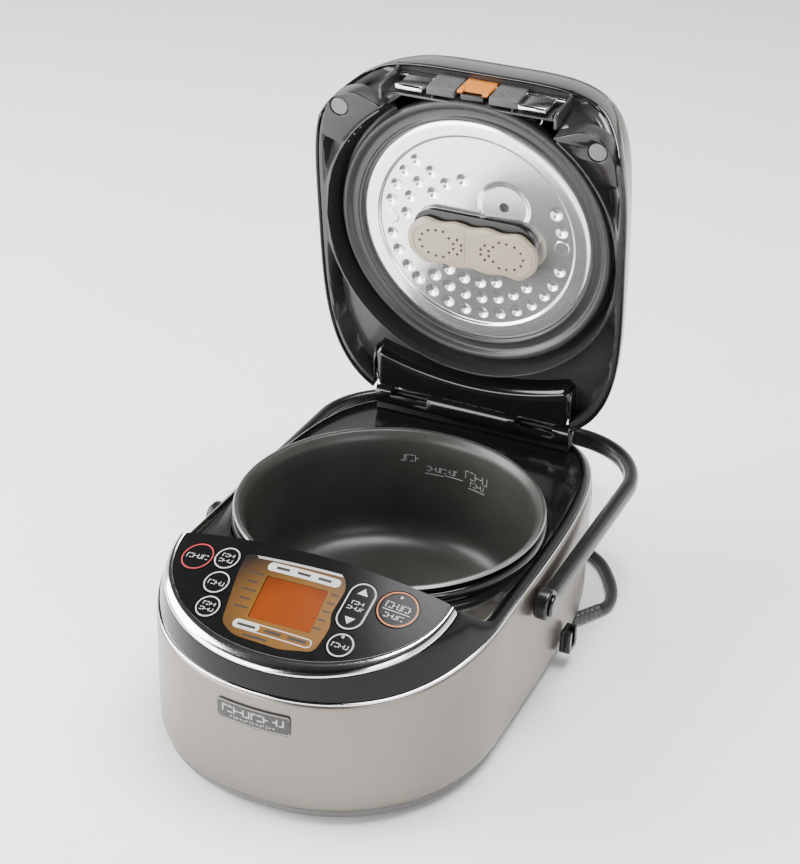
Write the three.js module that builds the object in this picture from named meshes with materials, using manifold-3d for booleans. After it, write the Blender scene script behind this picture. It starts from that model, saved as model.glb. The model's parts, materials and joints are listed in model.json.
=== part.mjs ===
// Pressure rice cooker with its lid open: a hollow body with a control console, an inner pot, a hinged
// lid that carries a removable inner lid, a carry handle, and a mains cord coiled behind.
// Millimetres, +Z up. The front faces -Y, and the pot's axis is x = 0, y = 0 before the final shift.
import * as THREE from "three";
import { mergeVertices } from "three/addons/utils/BufferGeometryUtils.js";
import Module from "manifold-3d";

const wasm = await Module();
wasm.setup();

// ---------------------------------------------------------------- driving dimensions
const GAP = 0.35; // clearance between touching pieces
const FRAME_SHIFT_Y = -9.7; // puts the middle of the depth at y = 0

const BODY = { halfWidth: 120, front: -203, rear: 177.4, widestY: -77.2, frontPower: 2.17, rearPower: 4.27 };
const FOOT_HEIGHT = 3;
const CASING_BOTTOM = 10.4;
const CASING_WALL = 1.2;
const CASING_TOP = 108; // at the sides
const CASING_DIP = 14; // how far the top edge sinks at the front
const DECK_Z = 113.5;

const POT = { lipRadius: 110.2, wallRadius: 103.5, rimZ: 126.6, bottomZ: 32, wall: 2.4 };
const SEAT_RADIUS = 111.4;
const LINER = { radius: 107.8, wall: 1.6, bottomZ: 27 };

// Console: the outline of the trim is half an oval about (0, tipY), on a sloping crowned surface.
const CONSOLE = { tipX: 102, tipY: -116, tipZ: 137.9, slope: 0.26, depth: 84.5, power: 2.1 };
const CONSOLE_CROWN = 8.3;
const CROWN_FADE_Y = -200;
const PANEL = { halfWidth: 96.5, depth: 75, rearY: -113, thickness: 3 };
const SKIRT_BOTTOM = 114.6;

const HINGE = { y: 153.5, z: 126.4, pinRadius: 2.5, knuckleRadius: 6, halfLength: 80 };
const LID_OPEN = THREE.MathUtils.degToRad(82.4);
const LID = { halfWidth: 119.5, front: -119, rear: 158, frontPower: 4.4, rearPower: 3.6, wall: 2 };
const LID_RIM = { sideZ: 116, frontZ: 148.6, riseStartY: -80, riseEndY: -110 };
// Height, then how far the sides, the front and the rear have drawn in there.
const DOME = [
  [116, 0, 0, 0],
  [126, 1.5, 0.2, 1],
  [150, 8.6, 1.5, 8],
  [170, 15, 5, 20],
  [188, 23, 12, 40],
  [199, 36, 26, 60],
  [205, 60, 52, 88],
];
const LID_TOP = 207;
const INNER_LID_Z = 131;

const HANDLE = { x: 126.5, y: -20, z: 91, reach: 232, corner: 62, halfThick: 5, halfTall: 7 };
const CORD = { diameter: 8.5, coilRadius: 47, coilX: 12, coilY: 245 };

const SEGMENTS = 48; // points round a full outline

// ---------------------------------------------------------------- mesh helpers
const point = (x, y, z) => new THREE.Vector3(x, y, z);
const clamp01 = (t) => Math.min(1, Math.max(0, t));
const smooth = (t) => clamp01(t) ** 2 * (3 - 2 * clamp01(t));
const mix = THREE.MathUtils.lerp;

function bare(geometry) {
  const plain = geometry.index ? geometry.toNonIndexed() : geometry.clone();
  const position = plain.getAttribute("position");
  return mergeVertices(new THREE.BufferGeometry().setAttribute("position", position), 1e-4);
}

// A closed geometry as a solid, whichever way its faces were wound.
function solid(geometry) {
  const merged = bare(geometry);
  const vertProperties = merged.attributes.position.array;
  const wound = (triVerts) => new wasm.Manifold(new wasm.Mesh({ numProp: 3, vertProperties, triVerts }));
  const triangles = new Uint32Array(merged.index.array);
  const made = wound(triangles);
  return made.volume() < 0 ? wound(triangles.slice().reverse()) : made;
}

function geometryOf(manifold) {
  const mesh = manifold.getMesh();
  const geometry = new THREE.BufferGeometry();
  geometry.setAttribute("position", new THREE.BufferAttribute(mesh.vertProperties, 3));
  geometry.setIndex(new THREE.BufferAttribute(mesh.triVerts, 1));
  return geometry;
}

const join = (...parts) => parts.reduce((whole, part) => whole.add(part));
const cut = (base, ...tools) => tools.reduce((left, tool) => left.subtract(tool), base);

// One closed skin over rings of equal length: capped at both ends, or with the last ring joined to the first.
function skin(rings, capped) {
  const count = rings[0].length;
  const positions = rings.flat().flatMap((p) => [p.x, p.y, p.z]);
  const faces = [];
  const bands = capped ? rings.length - 1 : rings.length;
  for (let band = 0; band < bands; band++) {
    const next = (band + 1) % rings.length;
    for (let i = 0; i < count; i++) {
      const j = (i + 1) % count;
      const [a, b, c, d] = [band * count + i, band * count + j, next * count + j, next * count + i];
      faces.push(a, b, c, a, c, d);
    }
  }
  if (capped) {
    for (const [ring, first] of [
      [0, true],
      [rings.length - 1, false],
    ]) {
      const middle = rings[ring].reduce((sum, p) => sum.add(p), point(0, 0, 0)).divideScalar(count);
      const centre = positions.length / 3;
      positions.push(middle.x, middle.y, middle.z);
      for (let i = 0; i < count; i++) {
        const [a, b] = [ring * count + i, ring * count + ((i + 1) % count)];
        faces.push(...(first ? [b, a, centre] : [a, b, centre]));
      }
    }
  }
  const at = (k) => point(...positions.slice(3 * k, 3 * k + 3));
  let volume = 0;
  for (let f = 0; f < faces.length; f += 3) {
    volume += at(faces[f]).dot(at(faces[f + 1]).cross(at(faces[f + 2])));
  }
  if (volume < 0) {
    faces.reverse();
  }
  const geometry = new THREE.BufferGeometry();
  geometry.setAttribute("position", new THREE.Float32BufferAttribute(positions, 3));
  geometry.setIndex(faces);
  return geometry;
}

// A flat outline (an array of [x, y]) as a plate from z = low to z = high.
function plate(outline, low, high) {
  const shape = new THREE.Shape(outline.map(([x, y]) => new THREE.Vector2(x, y)));
  return new THREE.ExtrudeGeometry(shape, { depth: high - low, bevelEnabled: false }).translate(0, 0, low);
}

// A side view (an array of [y, z]) as a bar from x = low to x = high.
function bar(outline, low, high) {
  const shape = new THREE.Shape(outline.map(([y, z]) => new THREE.Vector2(y, z)));
  const solidBar = new THREE.ExtrudeGeometry(shape, { depth: high - low, bevelEnabled: false });
  const turn = new THREE.Matrix4().makeBasis(point(0, 1, 0), point(0, 0, 1), point(1, 0, 0));
  return solidBar.applyMatrix4(turn).translate(low, 0, 0);
}

function box(x0, x1, y0, y1, z0, z1) {
  const block = new THREE.BoxGeometry(x1 - x0, y1 - y0, z1 - z0);
  return block.translate((x0 + x1) / 2, (y0 + y1) / 2, (z0 + z1) / 2);
}

// A turned piece about the Z axis: profile is an array of [radius, z] that closes on itself or on the axis.
function turned(profile, segments = 48) {
  return new THREE.LatheGeometry(
    profile.map(([r, z]) => new THREE.Vector2(r, z)),
    segments,
  ).rotateX(Math.PI / 2);
}

const closedProfile = (points) => [...points, points[0]];

function cylinderZ(x, y, radius, low, high, segments = 16) {
  const round = new THREE.CylinderGeometry(radius, radius, high - low, segments);
  return round.rotateX(Math.PI / 2).translate(x, y, (low + high) / 2);
}

function cylinderX(y, z, radius, low, high, segments = 16) {
  const round = new THREE.CylinderGeometry(radius, radius, high - low, segments);
  return round.rotateZ(Math.PI / 2).translate((low + high) / 2, y, z);
}

// A stadium or rounded rectangle outline.
function roundedOutline(x, y, width, height, radius, steps = 5) {
  const outline = [];
  for (let corner = 0; corner < 4; corner++) {
    const centreX = x + (corner === 0 || corner === 3 ? 1 : -1) * (width / 2 - radius);
    const centreY = y + (corner < 2 ? 1 : -1) * (height / 2 - radius);
    for (let k = 0; k <= steps; k++) {
      const angle = ((corner + k / steps) * Math.PI) / 2;
      outline.push([centreX + radius * Math.cos(angle), centreY + radius * Math.sin(angle)]);
    }
  }
  return outline;
}

// ---------------------------------------------------------------- outlines of the body, console and lid
function oval({ halfWidth, front, rear, widestY, frontPower, rearPower }, count = SEGMENTS) {
  return Array.from({ length: count }, (_, i) => {
    const angle = (i / count) * 2 * Math.PI;
    const [c, s] = [Math.cos(angle), Math.sin(angle)];
    const power = s < 0 ? frontPower : rearPower;
    const depth = s < 0 ? widestY - front : rear - widestY;
    const x = halfWidth * Math.sign(c) * Math.abs(c) ** (2 / power);
    const y = widestY + depth * Math.sign(s) * Math.abs(s) ** (2 / power);
    return point(x, y, 0);
  });
}

function bodyOutline(inset) {
  const { halfWidth, front, rear } = BODY;
  return oval({ ...BODY, halfWidth: halfWidth - inset, front: front + inset, rear: rear - inset });
}

const atHeight = (loop, height) =>
  loop.map((p) => point(p.x, p.y, typeof height === "function" ? height(p) : height));

// Moves each point of a loop sideways towards its inside by a distance.
function drawnIn(loop, distance) {
  const turning = loop.reduce((sum, p, i) => {
    const q = loop[(i + 1) % loop.length];
    return sum + p.x * q.y - q.x * p.y;
  }, 0);
  const side = Math.sign(turning) * distance;
  return loop.map((p, i) => {
    const before = loop[(i + loop.length - 1) % loop.length];
    const after = loop[(i + 1) % loop.length];
    const along = point(after.x - before.x, after.y - before.y, 0).normalize();
    return point(p.x - along.y * side, p.y + along.x * side, p.z);
  });
}

// The casing's top edge sinks towards the front.
const casingTop = ({ y }) => CASING_TOP - CASING_DIP * smooth((-70 - y) / 140);

// Height of the console's face: a plane that slopes to the front, with a crown that is highest at the rear.
function consoleZ({ x, y }) {
  const plane = CONSOLE.tipZ + CONSOLE.slope * (y - CONSOLE.tipY);
  const fade = clamp01((y - CROWN_FADE_Y) / (PANEL.rearY - CROWN_FADE_Y));
  return plane + CONSOLE_CROWN * Math.max(0, 1 - (x / CONSOLE.tipX) ** 2) * fade;
}

// A point of the half oval about the console's tips, in the direction of p.
function onConsoleOval(p, halfWidth, depth) {
  const [dx, dy] = [p.x, p.y - CONSOLE.tipY];
  const reach = (Math.abs(dx) / halfWidth) ** CONSOLE.power + (Math.abs(dy) / depth) ** CONSOLE.power;
  const scale = reach ** (-1 / CONSOLE.power);
  return point(dx * scale, CONSOLE.tipY + dy * scale, 0);
}

// The inner edge of the shoulder: it follows the console in front and the casing elsewhere.
function shoulderEdge(p, inset) {
  if (p.y <= CONSOLE.tipY) {
    const q = onConsoleOval(p, CONSOLE.tipX - inset, CONSOLE.depth - inset);
    return point(q.x, q.y, consoleZ(q) - 4.2);
  }
  const along = smooth((p.y - CONSOLE.tipY) / 30);
  const tip = CONSOLE.tipX - inset;
  const sideX = Math.abs(p.x) * (1 - 3 / BODY.halfWidth) - inset;
  const x = Math.sign(p.x) * mix(Math.min(tip, Math.abs(sideX)), Math.abs(sideX), along);
  const y = p.y > 0 ? p.y * (1 - 4 / BODY.rear) - inset * smooth((p.y - 90) / 60) : p.y;
  return point(x, y, mix(CONSOLE.tipZ - 4.2, DECK_Z + 0.6, along));
}

// ---------------------------------------------------------------- where the mains cord leaves the body
const FLOOR_GAP = 0.3;
const CORD_Z = CORD.diameter / 2 + FLOOR_GAP;
const EXIT = point(112, 92, 5.4);
const EXIT_DIRECTION = point(0.5, 0.86, 0).normalize();

// A tapered sleeve along the way out of the body, between two distances from the exit point.
function gland(radius, from, to) {
  const sleeve = new THREE.CylinderGeometry(radius * 0.92, radius, to - from, 16);
  const turn = new THREE.Quaternion().setFromUnitVectors(point(0, 1, 0), EXIT_DIRECTION);
  sleeve.translate(0, (from + to) / 2, 0).applyQuaternion(turn);
  return sleeve.translate(EXIT.x, EXIT.y, EXIT.z);
}

// ---------------------------------------------------------------- the scene graph
const whole = new THREE.Group();
whole.position.y = FRAME_SHIFT_Y;

// The lid's pieces are shaped as they lie when it is closed, then swung open about the hinge.
const lidPivot = new THREE.Group();
lidPivot.position.set(0, HINGE.y, HINGE.z);
lidPivot.rotation.x = -LID_OPEN;
const lid = new THREE.Group();
lid.position.set(0, -HINGE.y, -HINGE.z);
lidPivot.add(lid);
whole.add(lidPivot);

const FINISH = {
  champagne: { color: 0xc9c3b8, roughness: 0.36, metalness: 0.75 },
  chrome: { color: 0xe2e3e5, roughness: 0.12, metalness: 1 },
  glossBlack: { color: 0x131314, roughness: 0.12, metalness: 0 },
  satinBlack: { color: 0x1f1f20, roughness: 0.42, metalness: 0 },
  darkGrey: { color: 0x3c3c3e, roughness: 0.45, metalness: 0 },
  rubber: { color: 0x17181a, roughness: 0.55, metalness: 0 },
  nonStick: { color: 0x1c1b1a, roughness: 0.3, metalness: 0.2 },
  steel: { color: 0xd7d8d9, roughness: 0.18, metalness: 1 },
  amber: { color: 0xc98a1e, roughness: 0.3, metalness: 0 },
  orangeGlass: { color: 0xb85a0c, roughness: 0.1, metalness: 0 },
  orange: { color: 0xe58a2c, roughness: 0.4, metalness: 0 },
  beige: { color: 0xbfb3a2, roughness: 0.5, metalness: 0 },
  grey: { color: 0x77787a, roughness: 0.5, metalness: 0 },
  board: { color: 0x1f5a35, roughness: 0.6, metalness: 0 },
  copper: { color: 0xb06a38, roughness: 0.35, metalness: 1 },
  aluminium: { color: 0xb9bbbd, roughness: 0.4, metalness: 1 },
};

function add(name, geometry, finish, parent = whole) {
  const closed = geometryOf(solid(geometry));
  const mesh = new THREE.Mesh(closed, new THREE.MeshStandardMaterial(FINISH[finish]));
  mesh.name = name;
  parent.add(mesh);
}

// ---------------------------------------------------------------- base, casing and shoulder
function baseTray() {
  const pan = skin(
    [
      atHeight(bodyOutline(7), FOOT_HEIGHT + GAP),
      atHeight(bodyOutline(2.6), 6.5),
      atHeight(bodyOutline(2.4), CASING_BOTTOM - GAP),
      atHeight(bodyOutline(4.5), CASING_BOTTOM - GAP),
      atHeight(bodyOutline(4.5), 18),
      atHeight(bodyOutline(6.5), 18),
      atHeight(bodyOutline(8), 6.2),
    ],
    true,
  );
  const slots = [-24, -12, 0, 12, 24].map((x) => solid(box(x - 3, x + 3, -180, -128, 0, 9)));
  const cordHole = solid(gland(5.6, -6, 30));
  return geometryOf(cut(solid(pan), ...slots, cordHole));
}

function outerCasing() {
  const below = (drop) => (p) => casingTop(p) - drop;
  return skin(
    [
      atHeight(bodyOutline(2), CASING_BOTTOM),
      atHeight(bodyOutline(0.5), 13.5),
      atHeight(bodyOutline(0), 20),
      atHeight(bodyOutline(0.3), below(3)),
      atHeight(bodyOutline(1), below(0)),
      atHeight(bodyOutline(1 + CASING_WALL), below(0)),
      atHeight(bodyOutline(0.3 + CASING_WALL), below(4)),
      atHeight(bodyOutline(2 + CASING_WALL), CASING_BOTTOM),
    ],
    false,
  );
}

function casingTopTrim() {
  const above = (rise) => (p) => casingTop(p) + rise;
  return skin(
    [
      atHeight(bodyOutline(0.7), above(GAP)),
      atHeight(bodyOutline(0.9), above(1.7)),
      atHeight(bodyOutline(2.7), above(1.9)),
      atHeight(bodyOutline(2.7), above(GAP)),
    ],
    false,
  );
}

function shoulderFrame() {
  const foot = bodyOutline(2.2);
  const bottom = atHeight(foot, (p) => casingTop(p) + 2.3);
  const top = bottom.map((p) => shoulderEdge(p, 0));
  const middle = bottom.map((p, i) => {
    const q = top[i];
    return point(mix(p.x, q.x, 0.45), mix(p.y, q.y, 0.45), mix(p.z, q.z, 0.6));
  });
  const topInner = bottom.map((p) => shoulderEdge(p, 2.2)).map((p) => point(p.x, p.y, p.z - 0.8));
  const middleInner = drawnIn(middle, 2.2).map((p) => point(p.x, p.y, p.z - 1.2));
  const bottomInner = drawnIn(bottom, 2.6);
  return skin([bottom, middle, top, topInner, middleInner, bottomInner], false);
}

function topDeck() {
  const edge = bodyOutline(2.2).map((p) => shoulderEdge(p, 2.7));
  const sheet = skin([atHeight(edge, DECK_Z - 3), atHeight(edge, DECK_Z)], true);
  const potHole = solid(cylinderZ(0, 0, SEAT_RADIUS + GAP, 90, 140, 48));
  const console = solid(box(-130, 130, -260, PANEL.rearY + 1.8, 90, 150));
  return geometryOf(cut(solid(sheet), potHole, console));
}

add("base_tray", baseTray(), "darkGrey");
for (const [side, x] of [
  ["left", -1],
  ["right", 1],
]) {
  add(`foot_front_${side}`, cylinderZ(x * 72, -140, 9, 0, FOOT_HEIGHT), "rubber");
  add(`foot_rear_${side}`, cylinderZ(x * 82, 135, 9, 0, FOOT_HEIGHT), "rubber");
}
add("outer_casing", outerCasing(), "champagne");
add("casing_top_trim", casingTopTrim(), "chrome");
add("shoulder_frame", shoulderFrame(), "glossBlack");
add("top_deck", topDeck(), "glossBlack");

// ---------------------------------------------------------------- control console
const KEY_TRAVEL_CLEAR = 0.4;
const KEY_DEPTH = 6;
const KEYS = [
  { name: "key_cancel", x: -77.5, y: -134.5, width: 24, height: 24 },
  { name: "key_rinse_free", x: -56.8, y: -131.5, width: 19.4, height: 19.4 },
  { name: "key_menu", x: -53.9, y: -151.2, width: 19.4, height: 19.4 },
  { name: "key_keep_warm", x: -49.8, y: -170.2, width: 18.4, height: 18.4 },
  { name: "key_time_rocker", x: 42.1, y: -141.1, width: 20.4, height: 38 },
  { name: "key_timer", x: 45.5, y: -170.9, width: 19.4, height: 19.4 },
  { name: "key_start", x: 67.6, y: -133.6, width: 29, height: 29 },
];
const DISPLAY = [
  [-46.5, -124],
  [24.5, -121.5],
  [30.5, -131],
  [29.5, -152],
  [33, -158.5],
  [33.5, -166],
  [32, -181],
  [10, -186],
  [-24, -185],
  [-36, -178],
  [-38.5, -166],
  [-41.8, -152],
  [-44.6, -139],
];
const LCD = [
  [-24, -137],
  [20, -136.4],
  [23, -169],
  [-21, -170],
];

function panelRearY(x) {
  return PANEL.rearY + (CONSOLE.tipY - PANEL.rearY) * (x / CONSOLE.tipX) ** 2;
}

// The outline of the black panel: the half oval in front and a shallow bow behind.
function panelOutline() {
  const front = Array.from({ length: 25 }, (_, i) => {
    const angle = Math.PI + (i / 24) * Math.PI;
    const [c, s] = [Math.cos(angle), Math.sin(angle)];
    const x = PANEL.halfWidth * Math.sign(c) * Math.abs(c) ** (2 / CONSOLE.power);
    return point(x, CONSOLE.tipY - PANEL.depth * Math.abs(s) ** (2 / CONSOLE.power), 0);
  });
  const rear = Array.from({ length: 9 }, (_, i) => {
    const x = PANEL.halfWidth * (1 - (i + 1) / 5);
    return point(x, panelRearY(x), 0);
  });
  return [...front, ...rear];
}

const MIDDLE = { x: 0, y: -146 };
const shrunk = (loop, k) => loop.map((p) => point(mix(MIDDLE.x, p.x, k), mix(MIDDLE.y, p.y, k), 0));
const onConsole = (loop, drop) => atHeight(loop, (p) => consoleZ(p) - drop);

// A straight cutter or key whose sides stand square to the Z axis and whose faces follow the console.
function consoleSlab(outline, top, bottom) {
  const loop = outline.map(([x, y]) => point(x, y, 0));
  return skin([onConsole(loop, bottom), onConsole(loop, top)], true);
}

function keyOutline({ x, y, width, height }, margin) {
  return roundedOutline(x, y, width + 2 * margin, height + 2 * margin, width / 2 + margin, 4);
}

function controlPanel() {
  const outline = panelOutline();
  const scales = [1, 0.7, 0.35];
  const top = scales.map((k) => onConsole(shrunk(outline, k), 0));
  const bottom = scales.map((k) => onConsole(shrunk(outline, k), PANEL.thickness)).reverse();
  const lens = solid(skin([...bottom, ...top], true));
  const stations = 16;
  const skirtRings = Array.from({ length: stations + 1 }, (_, i) => {
    const x = mix(-94, 94, i / stations);
    const y = panelRearY(x);
    const z = consoleZ({ x, y }) - 0.6;
    return [point(x, y, SKIRT_BOTTOM), point(x, y, z), point(x, y - 2, z), point(x, y - 2, SKIRT_BOTTOM)];
  });
  const skirt = solid(skin(skirtRings, true));
  const holes = KEYS.map((key) => solid(consoleSlab(keyOutline(key, 0), -4, 12)));
  const opening = solid(consoleSlab(DISPLAY, -4, 12));
  return geometryOf(cut(join(lens, skirt), ...holes, opening));
}

// The bright trim runs along the console's front edge from tip to tip.
function panelTrim() {
  const stations = 32;
  const rings = Array.from({ length: stations + 1 }, (_, i) => {
    const angle = Math.PI + 0.02 + (i / stations) * (Math.PI - 0.04);
    const ray = point(Math.cos(angle), CONSOLE.tipY + Math.sin(angle), 0);
    const inner = onConsoleOval(ray, PANEL.halfWidth + GAP, PANEL.depth + GAP);
    const outer = onConsoleOval(ray, CONSOLE.tipX - 0.2, CONSOLE.depth - 0.2);
    const mid = inner.clone().lerp(outer, 0.45);
    return [
      point(inner.x, inner.y, consoleZ(inner) - 3),
      point(inner.x, inner.y, consoleZ(inner) + 0.3),
      point(mid.x, mid.y, consoleZ(mid) + 0.5),
      point(outer.x, outer.y, consoleZ(outer) - 2.4),
      point(outer.x, outer.y, consoleZ(outer) - 3.8),
    ];
  });
  return skin(rings, true);
}

function shrinkAbout(outline, distance) {
  const loop = drawnIn(
    outline.map(([x, y]) => point(x, y, 0)),
    distance,
  );
  return loop.map((p) => [p.x, p.y]);
}

add("control_panel", controlPanel(), "glossBlack");
add("panel_trim", panelTrim(), "chrome");
const displayPlate = solid(consoleSlab(shrinkAbout(DISPLAY, GAP), 0, 2.6));
const lcdOpening = solid(consoleSlab(LCD, -4, 8));
add("display_lens", geometryOf(cut(displayPlate, lcdOpening)), "amber");
add("lcd_window", consoleSlab(shrinkAbout(LCD, GAP), 0.5, 2.6), "orangeGlass");
for (const key of KEYS) {
  add(key.name, consoleSlab(keyOutline(key, -KEY_TRAVEL_CLEAR), -0.3, KEY_DEPTH), "glossBlack");
}

const BOARD_SCALE = { across: 0.86, deep: 0.8 }; // of the panel's outline
const boardOutline = panelOutline().map((p) => [
  p.x * BOARD_SCALE.across,
  mix(MIDDLE.y, p.y, BOARD_SCALE.deep),
]);
add("control_board", consoleSlab(boardOutline, 9, 10.6), "board");

// ---------------------------------------------------------------- badge on the casing's front
function bandOnCasing(halfWidth, low, high, outset, thickness) {
  const stations = 10;
  const { halfWidth: a, front, widestY, frontPower } = BODY;
  const rings = Array.from({ length: stations + 1 }, (_, i) => {
    const x = mix(-halfWidth, halfWidth, i / stations);
    const y = widestY - (widestY - front) * (1 - (Math.abs(x) / a) ** frontPower) ** (1 / frontPower);
    return [
      point(x, y - outset, low),
      point(x, y - outset, high),
      point(x, y - outset - thickness, high - 0.4),
      point(x, y - outset - thickness, low + 0.4),
    ];
  });
  return skin(rings, true);
}
add("badge", bandOnCasing(26, 69, 84, 0.4, 0.9), "darkGrey");

// ---------------------------------------------------------------- heating: liner, seat, coil, sensor, pot
const bowlProfile = (radius, bottom, corner, top) => [
  [radius, top],
  [radius, bottom + corner],
  [radius - corner * 0.13, bottom + corner * 0.5],
  [radius - corner * 0.5, bottom + corner * 0.13],
  [radius - corner, bottom],
];

function innerLiner() {
  const outside = bowlProfile(LINER.radius + LINER.wall, LINER.bottomZ, 26, DECK_Z - 4);
  const inside = bowlProfile(LINER.radius, LINER.bottomZ + LINER.wall, 25, DECK_Z - 4);
  const hole = [
    [17, LINER.bottomZ],
    [17, LINER.bottomZ + LINER.wall],
  ];
  return turned(closedProfile([...outside, ...hole, ...inside.reverse()]), 36);
}

const potSeat = closedProfile([
  [105.6, DECK_Z - 3],
  [105.6, 119],
  [107, 120.8],
  [110, 120.4],
  [SEAT_RADIUS, 117.5],
  [SEAT_RADIUS, DECK_Z - 3],
]);

function innerPot() {
  const { lipRadius, wallRadius, rimZ, bottomZ, wall } = POT;
  const outside = bowlProfile(wallRadius, bottomZ, 24, rimZ - 8).reverse();
  const lip = [
    [wallRadius + 0.4, rimZ - 3.4],
    [lipRadius - 1, rimZ - 2.6],
    [lipRadius, rimZ - 1.4],
    [lipRadius - 0.8, rimZ - 0.2],
    [lipRadius - 4, rimZ],
    [wallRadius - wall, rimZ - 4.5],
  ];
  const inside = bowlProfile(wallRadius - wall, bottomZ + wall, 22, rimZ - 10);
  return turned([[0, bottomZ], ...outside, ...lip, ...inside, [0, bottomZ + wall]], 48);
}

add("inner_liner", innerLiner(), "aluminium");
add("pot_seat_ring", turned(potSeat, 48), "glossBlack");
add("inner_pot", innerPot(), "nonStick");
const coilProfile = [
  [24, 19.5],
  [24, 26.2],
  [82, 26.2],
  [93, 28.4],
  [95, 25.5],
  [84, 19.5],
];
add("induction_coil", turned(closedProfile(coilProfile), 32), "copper");
const ferriteHub = [
  [20, 13.4],
  [30, 13.4],
  [30, 18.4],
  [20, 18.4],
];
const ferriteBars = [0, 1, 2, 3].map((k) =>
  solid(box(26, 78, -5, 5, 13.4, 18.4).rotateZ(((k + 0.5) * Math.PI) / 2)),
);
const ferrite = join(solid(turned(closedProfile(ferriteHub), 24)), ...ferriteBars);
add("ferrite_core", geometryOf(ferrite), "darkGrey");
const sensorProfile = [
  [0, 20],
  [6, 20],
  [6, 26],
  [14.5, 27.5],
  [15, 30.8],
  [13.5, POT.bottomZ - 0.4],
  [0, POT.bottomZ - 0.4],
];
add("centre_sensor", turned(sensorProfile, 16), "aluminium");

// ---------------------------------------------------------------- power board, heat sink and fan
const SINK = { low: 44, high: 78, baseY: -162, footY: -166.5, tipY: -186 };
const fin = (x) => solid(box(x - 0.8, x + 0.8, SINK.tipY, SINK.footY + 0.5, SINK.low, SINK.high));
const sinkBase = solid(box(-50, -2, SINK.footY, SINK.baseY, SINK.low, SINK.high));
const sink = join(sinkBase, ...[-49.2, -39.8, -30.4, -21, -11.6, -2.8].map(fin));
add("heat_sink", geometryOf(sink), "aluminium");
add("power_board", box(-78, 78, -161.6, -160, 30, 84), "board");

const FAN = { x: 0, y: -154, low: 12, high: 26, radius: 27, hub: 9, blades: 7, pitch: 0.6 };
const fanCase = solid(plate(roundedOutline(FAN.x, FAN.y, 60, 60, 5, 3), FAN.low, FAN.high));
const fanWell = solid(cylinderZ(FAN.x, FAN.y, FAN.radius, FAN.low - 1, FAN.high + 1, 32));
const fanSpokes = [0, 1].map((k) =>
  solid(box(-29, 29, -1.5, 1.5, FAN.low, FAN.low + 2).rotateZ((k * Math.PI) / 2).translate(FAN.x, FAN.y, 0)),
);
const fanHubSeat = solid(cylinderZ(FAN.x, FAN.y, FAN.hub, FAN.low, FAN.low + 2));
add("fan_frame", geometryOf(join(cut(fanCase, fanWell), ...fanSpokes, fanHubSeat)), "satinBlack");
const blades = Array.from({ length: FAN.blades }, (_, k) => {
  const blade = box(FAN.hub - 3, FAN.radius - 2, -5, 5, -0.6, 0.6).rotateX(FAN.pitch);
  return solid(blade.rotateZ((k * 2 * Math.PI) / FAN.blades).translate(FAN.x, FAN.y, FAN.low + 8));
});
const fanHub = solid(cylinderZ(FAN.x, FAN.y, FAN.hub, FAN.low + 2.5, FAN.high - 0.8));
add("fan_rotor", geometryOf(join(fanHub, ...blades)), "satinBlack");

// ---------------------------------------------------------------- hinge on the body
const KNUCKLES_BODY = [
  [-79, -66.4],
  [-36, 36],
  [66.4, 79],
];
const KNUCKLES_LID = [
  [-66, -36.4],
  [36.4, 66],
];

function hingeSupport() {
  const footing = solid(box(-79, 79, 147, 156.8, DECK_Z + GAP, DECK_Z + 2.4));
  const stands = KNUCKLES_BODY.map(([low, high]) => {
    const post = box(low, high, 148, 156.8, DECK_Z + 1, HINGE.z);
    return join(solid(post), solid(cylinderX(HINGE.y, HINGE.z, HINGE.knuckleRadius, low, high)));
  });
  const bore = solid(cylinderX(HINGE.y, HINGE.z, HINGE.pinRadius + GAP, -110, 110));
  const springWell = solid(box(-26, 26, 140, 170, DECK_Z + 4, 140));
  return geometryOf(cut(join(footing, ...stands), bore, springWell));
}

const hingePin = cylinderX(HINGE.y, HINGE.z, HINGE.pinRadius, -HINGE.halfLength, HINGE.halfLength, 16);

// A torsion spring: one wire wound round the pin.
function torsionSpring() {
  const [turns, low, high, radius, wire] = [4, -23, 23, 4.4, 0.9];
  const perTurn = 10;
  const rings = Array.from({ length: turns * perTurn + 1 }, (_, i) => {
    const angle = (i / perTurn) * 2 * Math.PI;
    const x = mix(low, high, i / (turns * perTurn));
    return Array.from({ length: 5 }, (_, k) => {
      const around = (k / 5) * 2 * Math.PI;
      const r = radius + wire * Math.cos(around);
      const y = HINGE.y + r * Math.cos(angle);
      return point(x + wire * Math.sin(around), y, HINGE.z + r * Math.sin(angle));
    });
  });
  return skin(rings, true);
}
add("hinge_support", hingeSupport(), "satinBlack");
add("hinge_pin", hingePin, "steel");
add("lid_spring", torsionSpring(), "steel");

// Catch under which the lid's hooks click: a thin strip behind the console's rear wall, with a tab at each end.
const CATCH = { wallY: -112.6, stripY: -111.9, tabY: -110, tabLow: 126.6, top: 128, inner: 35, outer: 57 };
const catchTabs = [-CATCH.outer, CATCH.inner].map((x0) => {
  const x1 = x0 + CATCH.outer - CATCH.inner;
  const leg = solid(box(x0, x1, CATCH.wallY, CATCH.stripY, DECK_Z + GAP, CATCH.top));
  return join(leg, solid(box(x0, x1, CATCH.wallY, CATCH.tabY, CATCH.tabLow, CATCH.top)));
});
const catchStrip = solid(box(-CATCH.outer, CATCH.outer, CATCH.wallY, CATCH.stripY, DECK_Z + GAP, 121));
add("latch_catch", geometryOf(join(catchStrip, ...catchTabs)), "steel");

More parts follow.
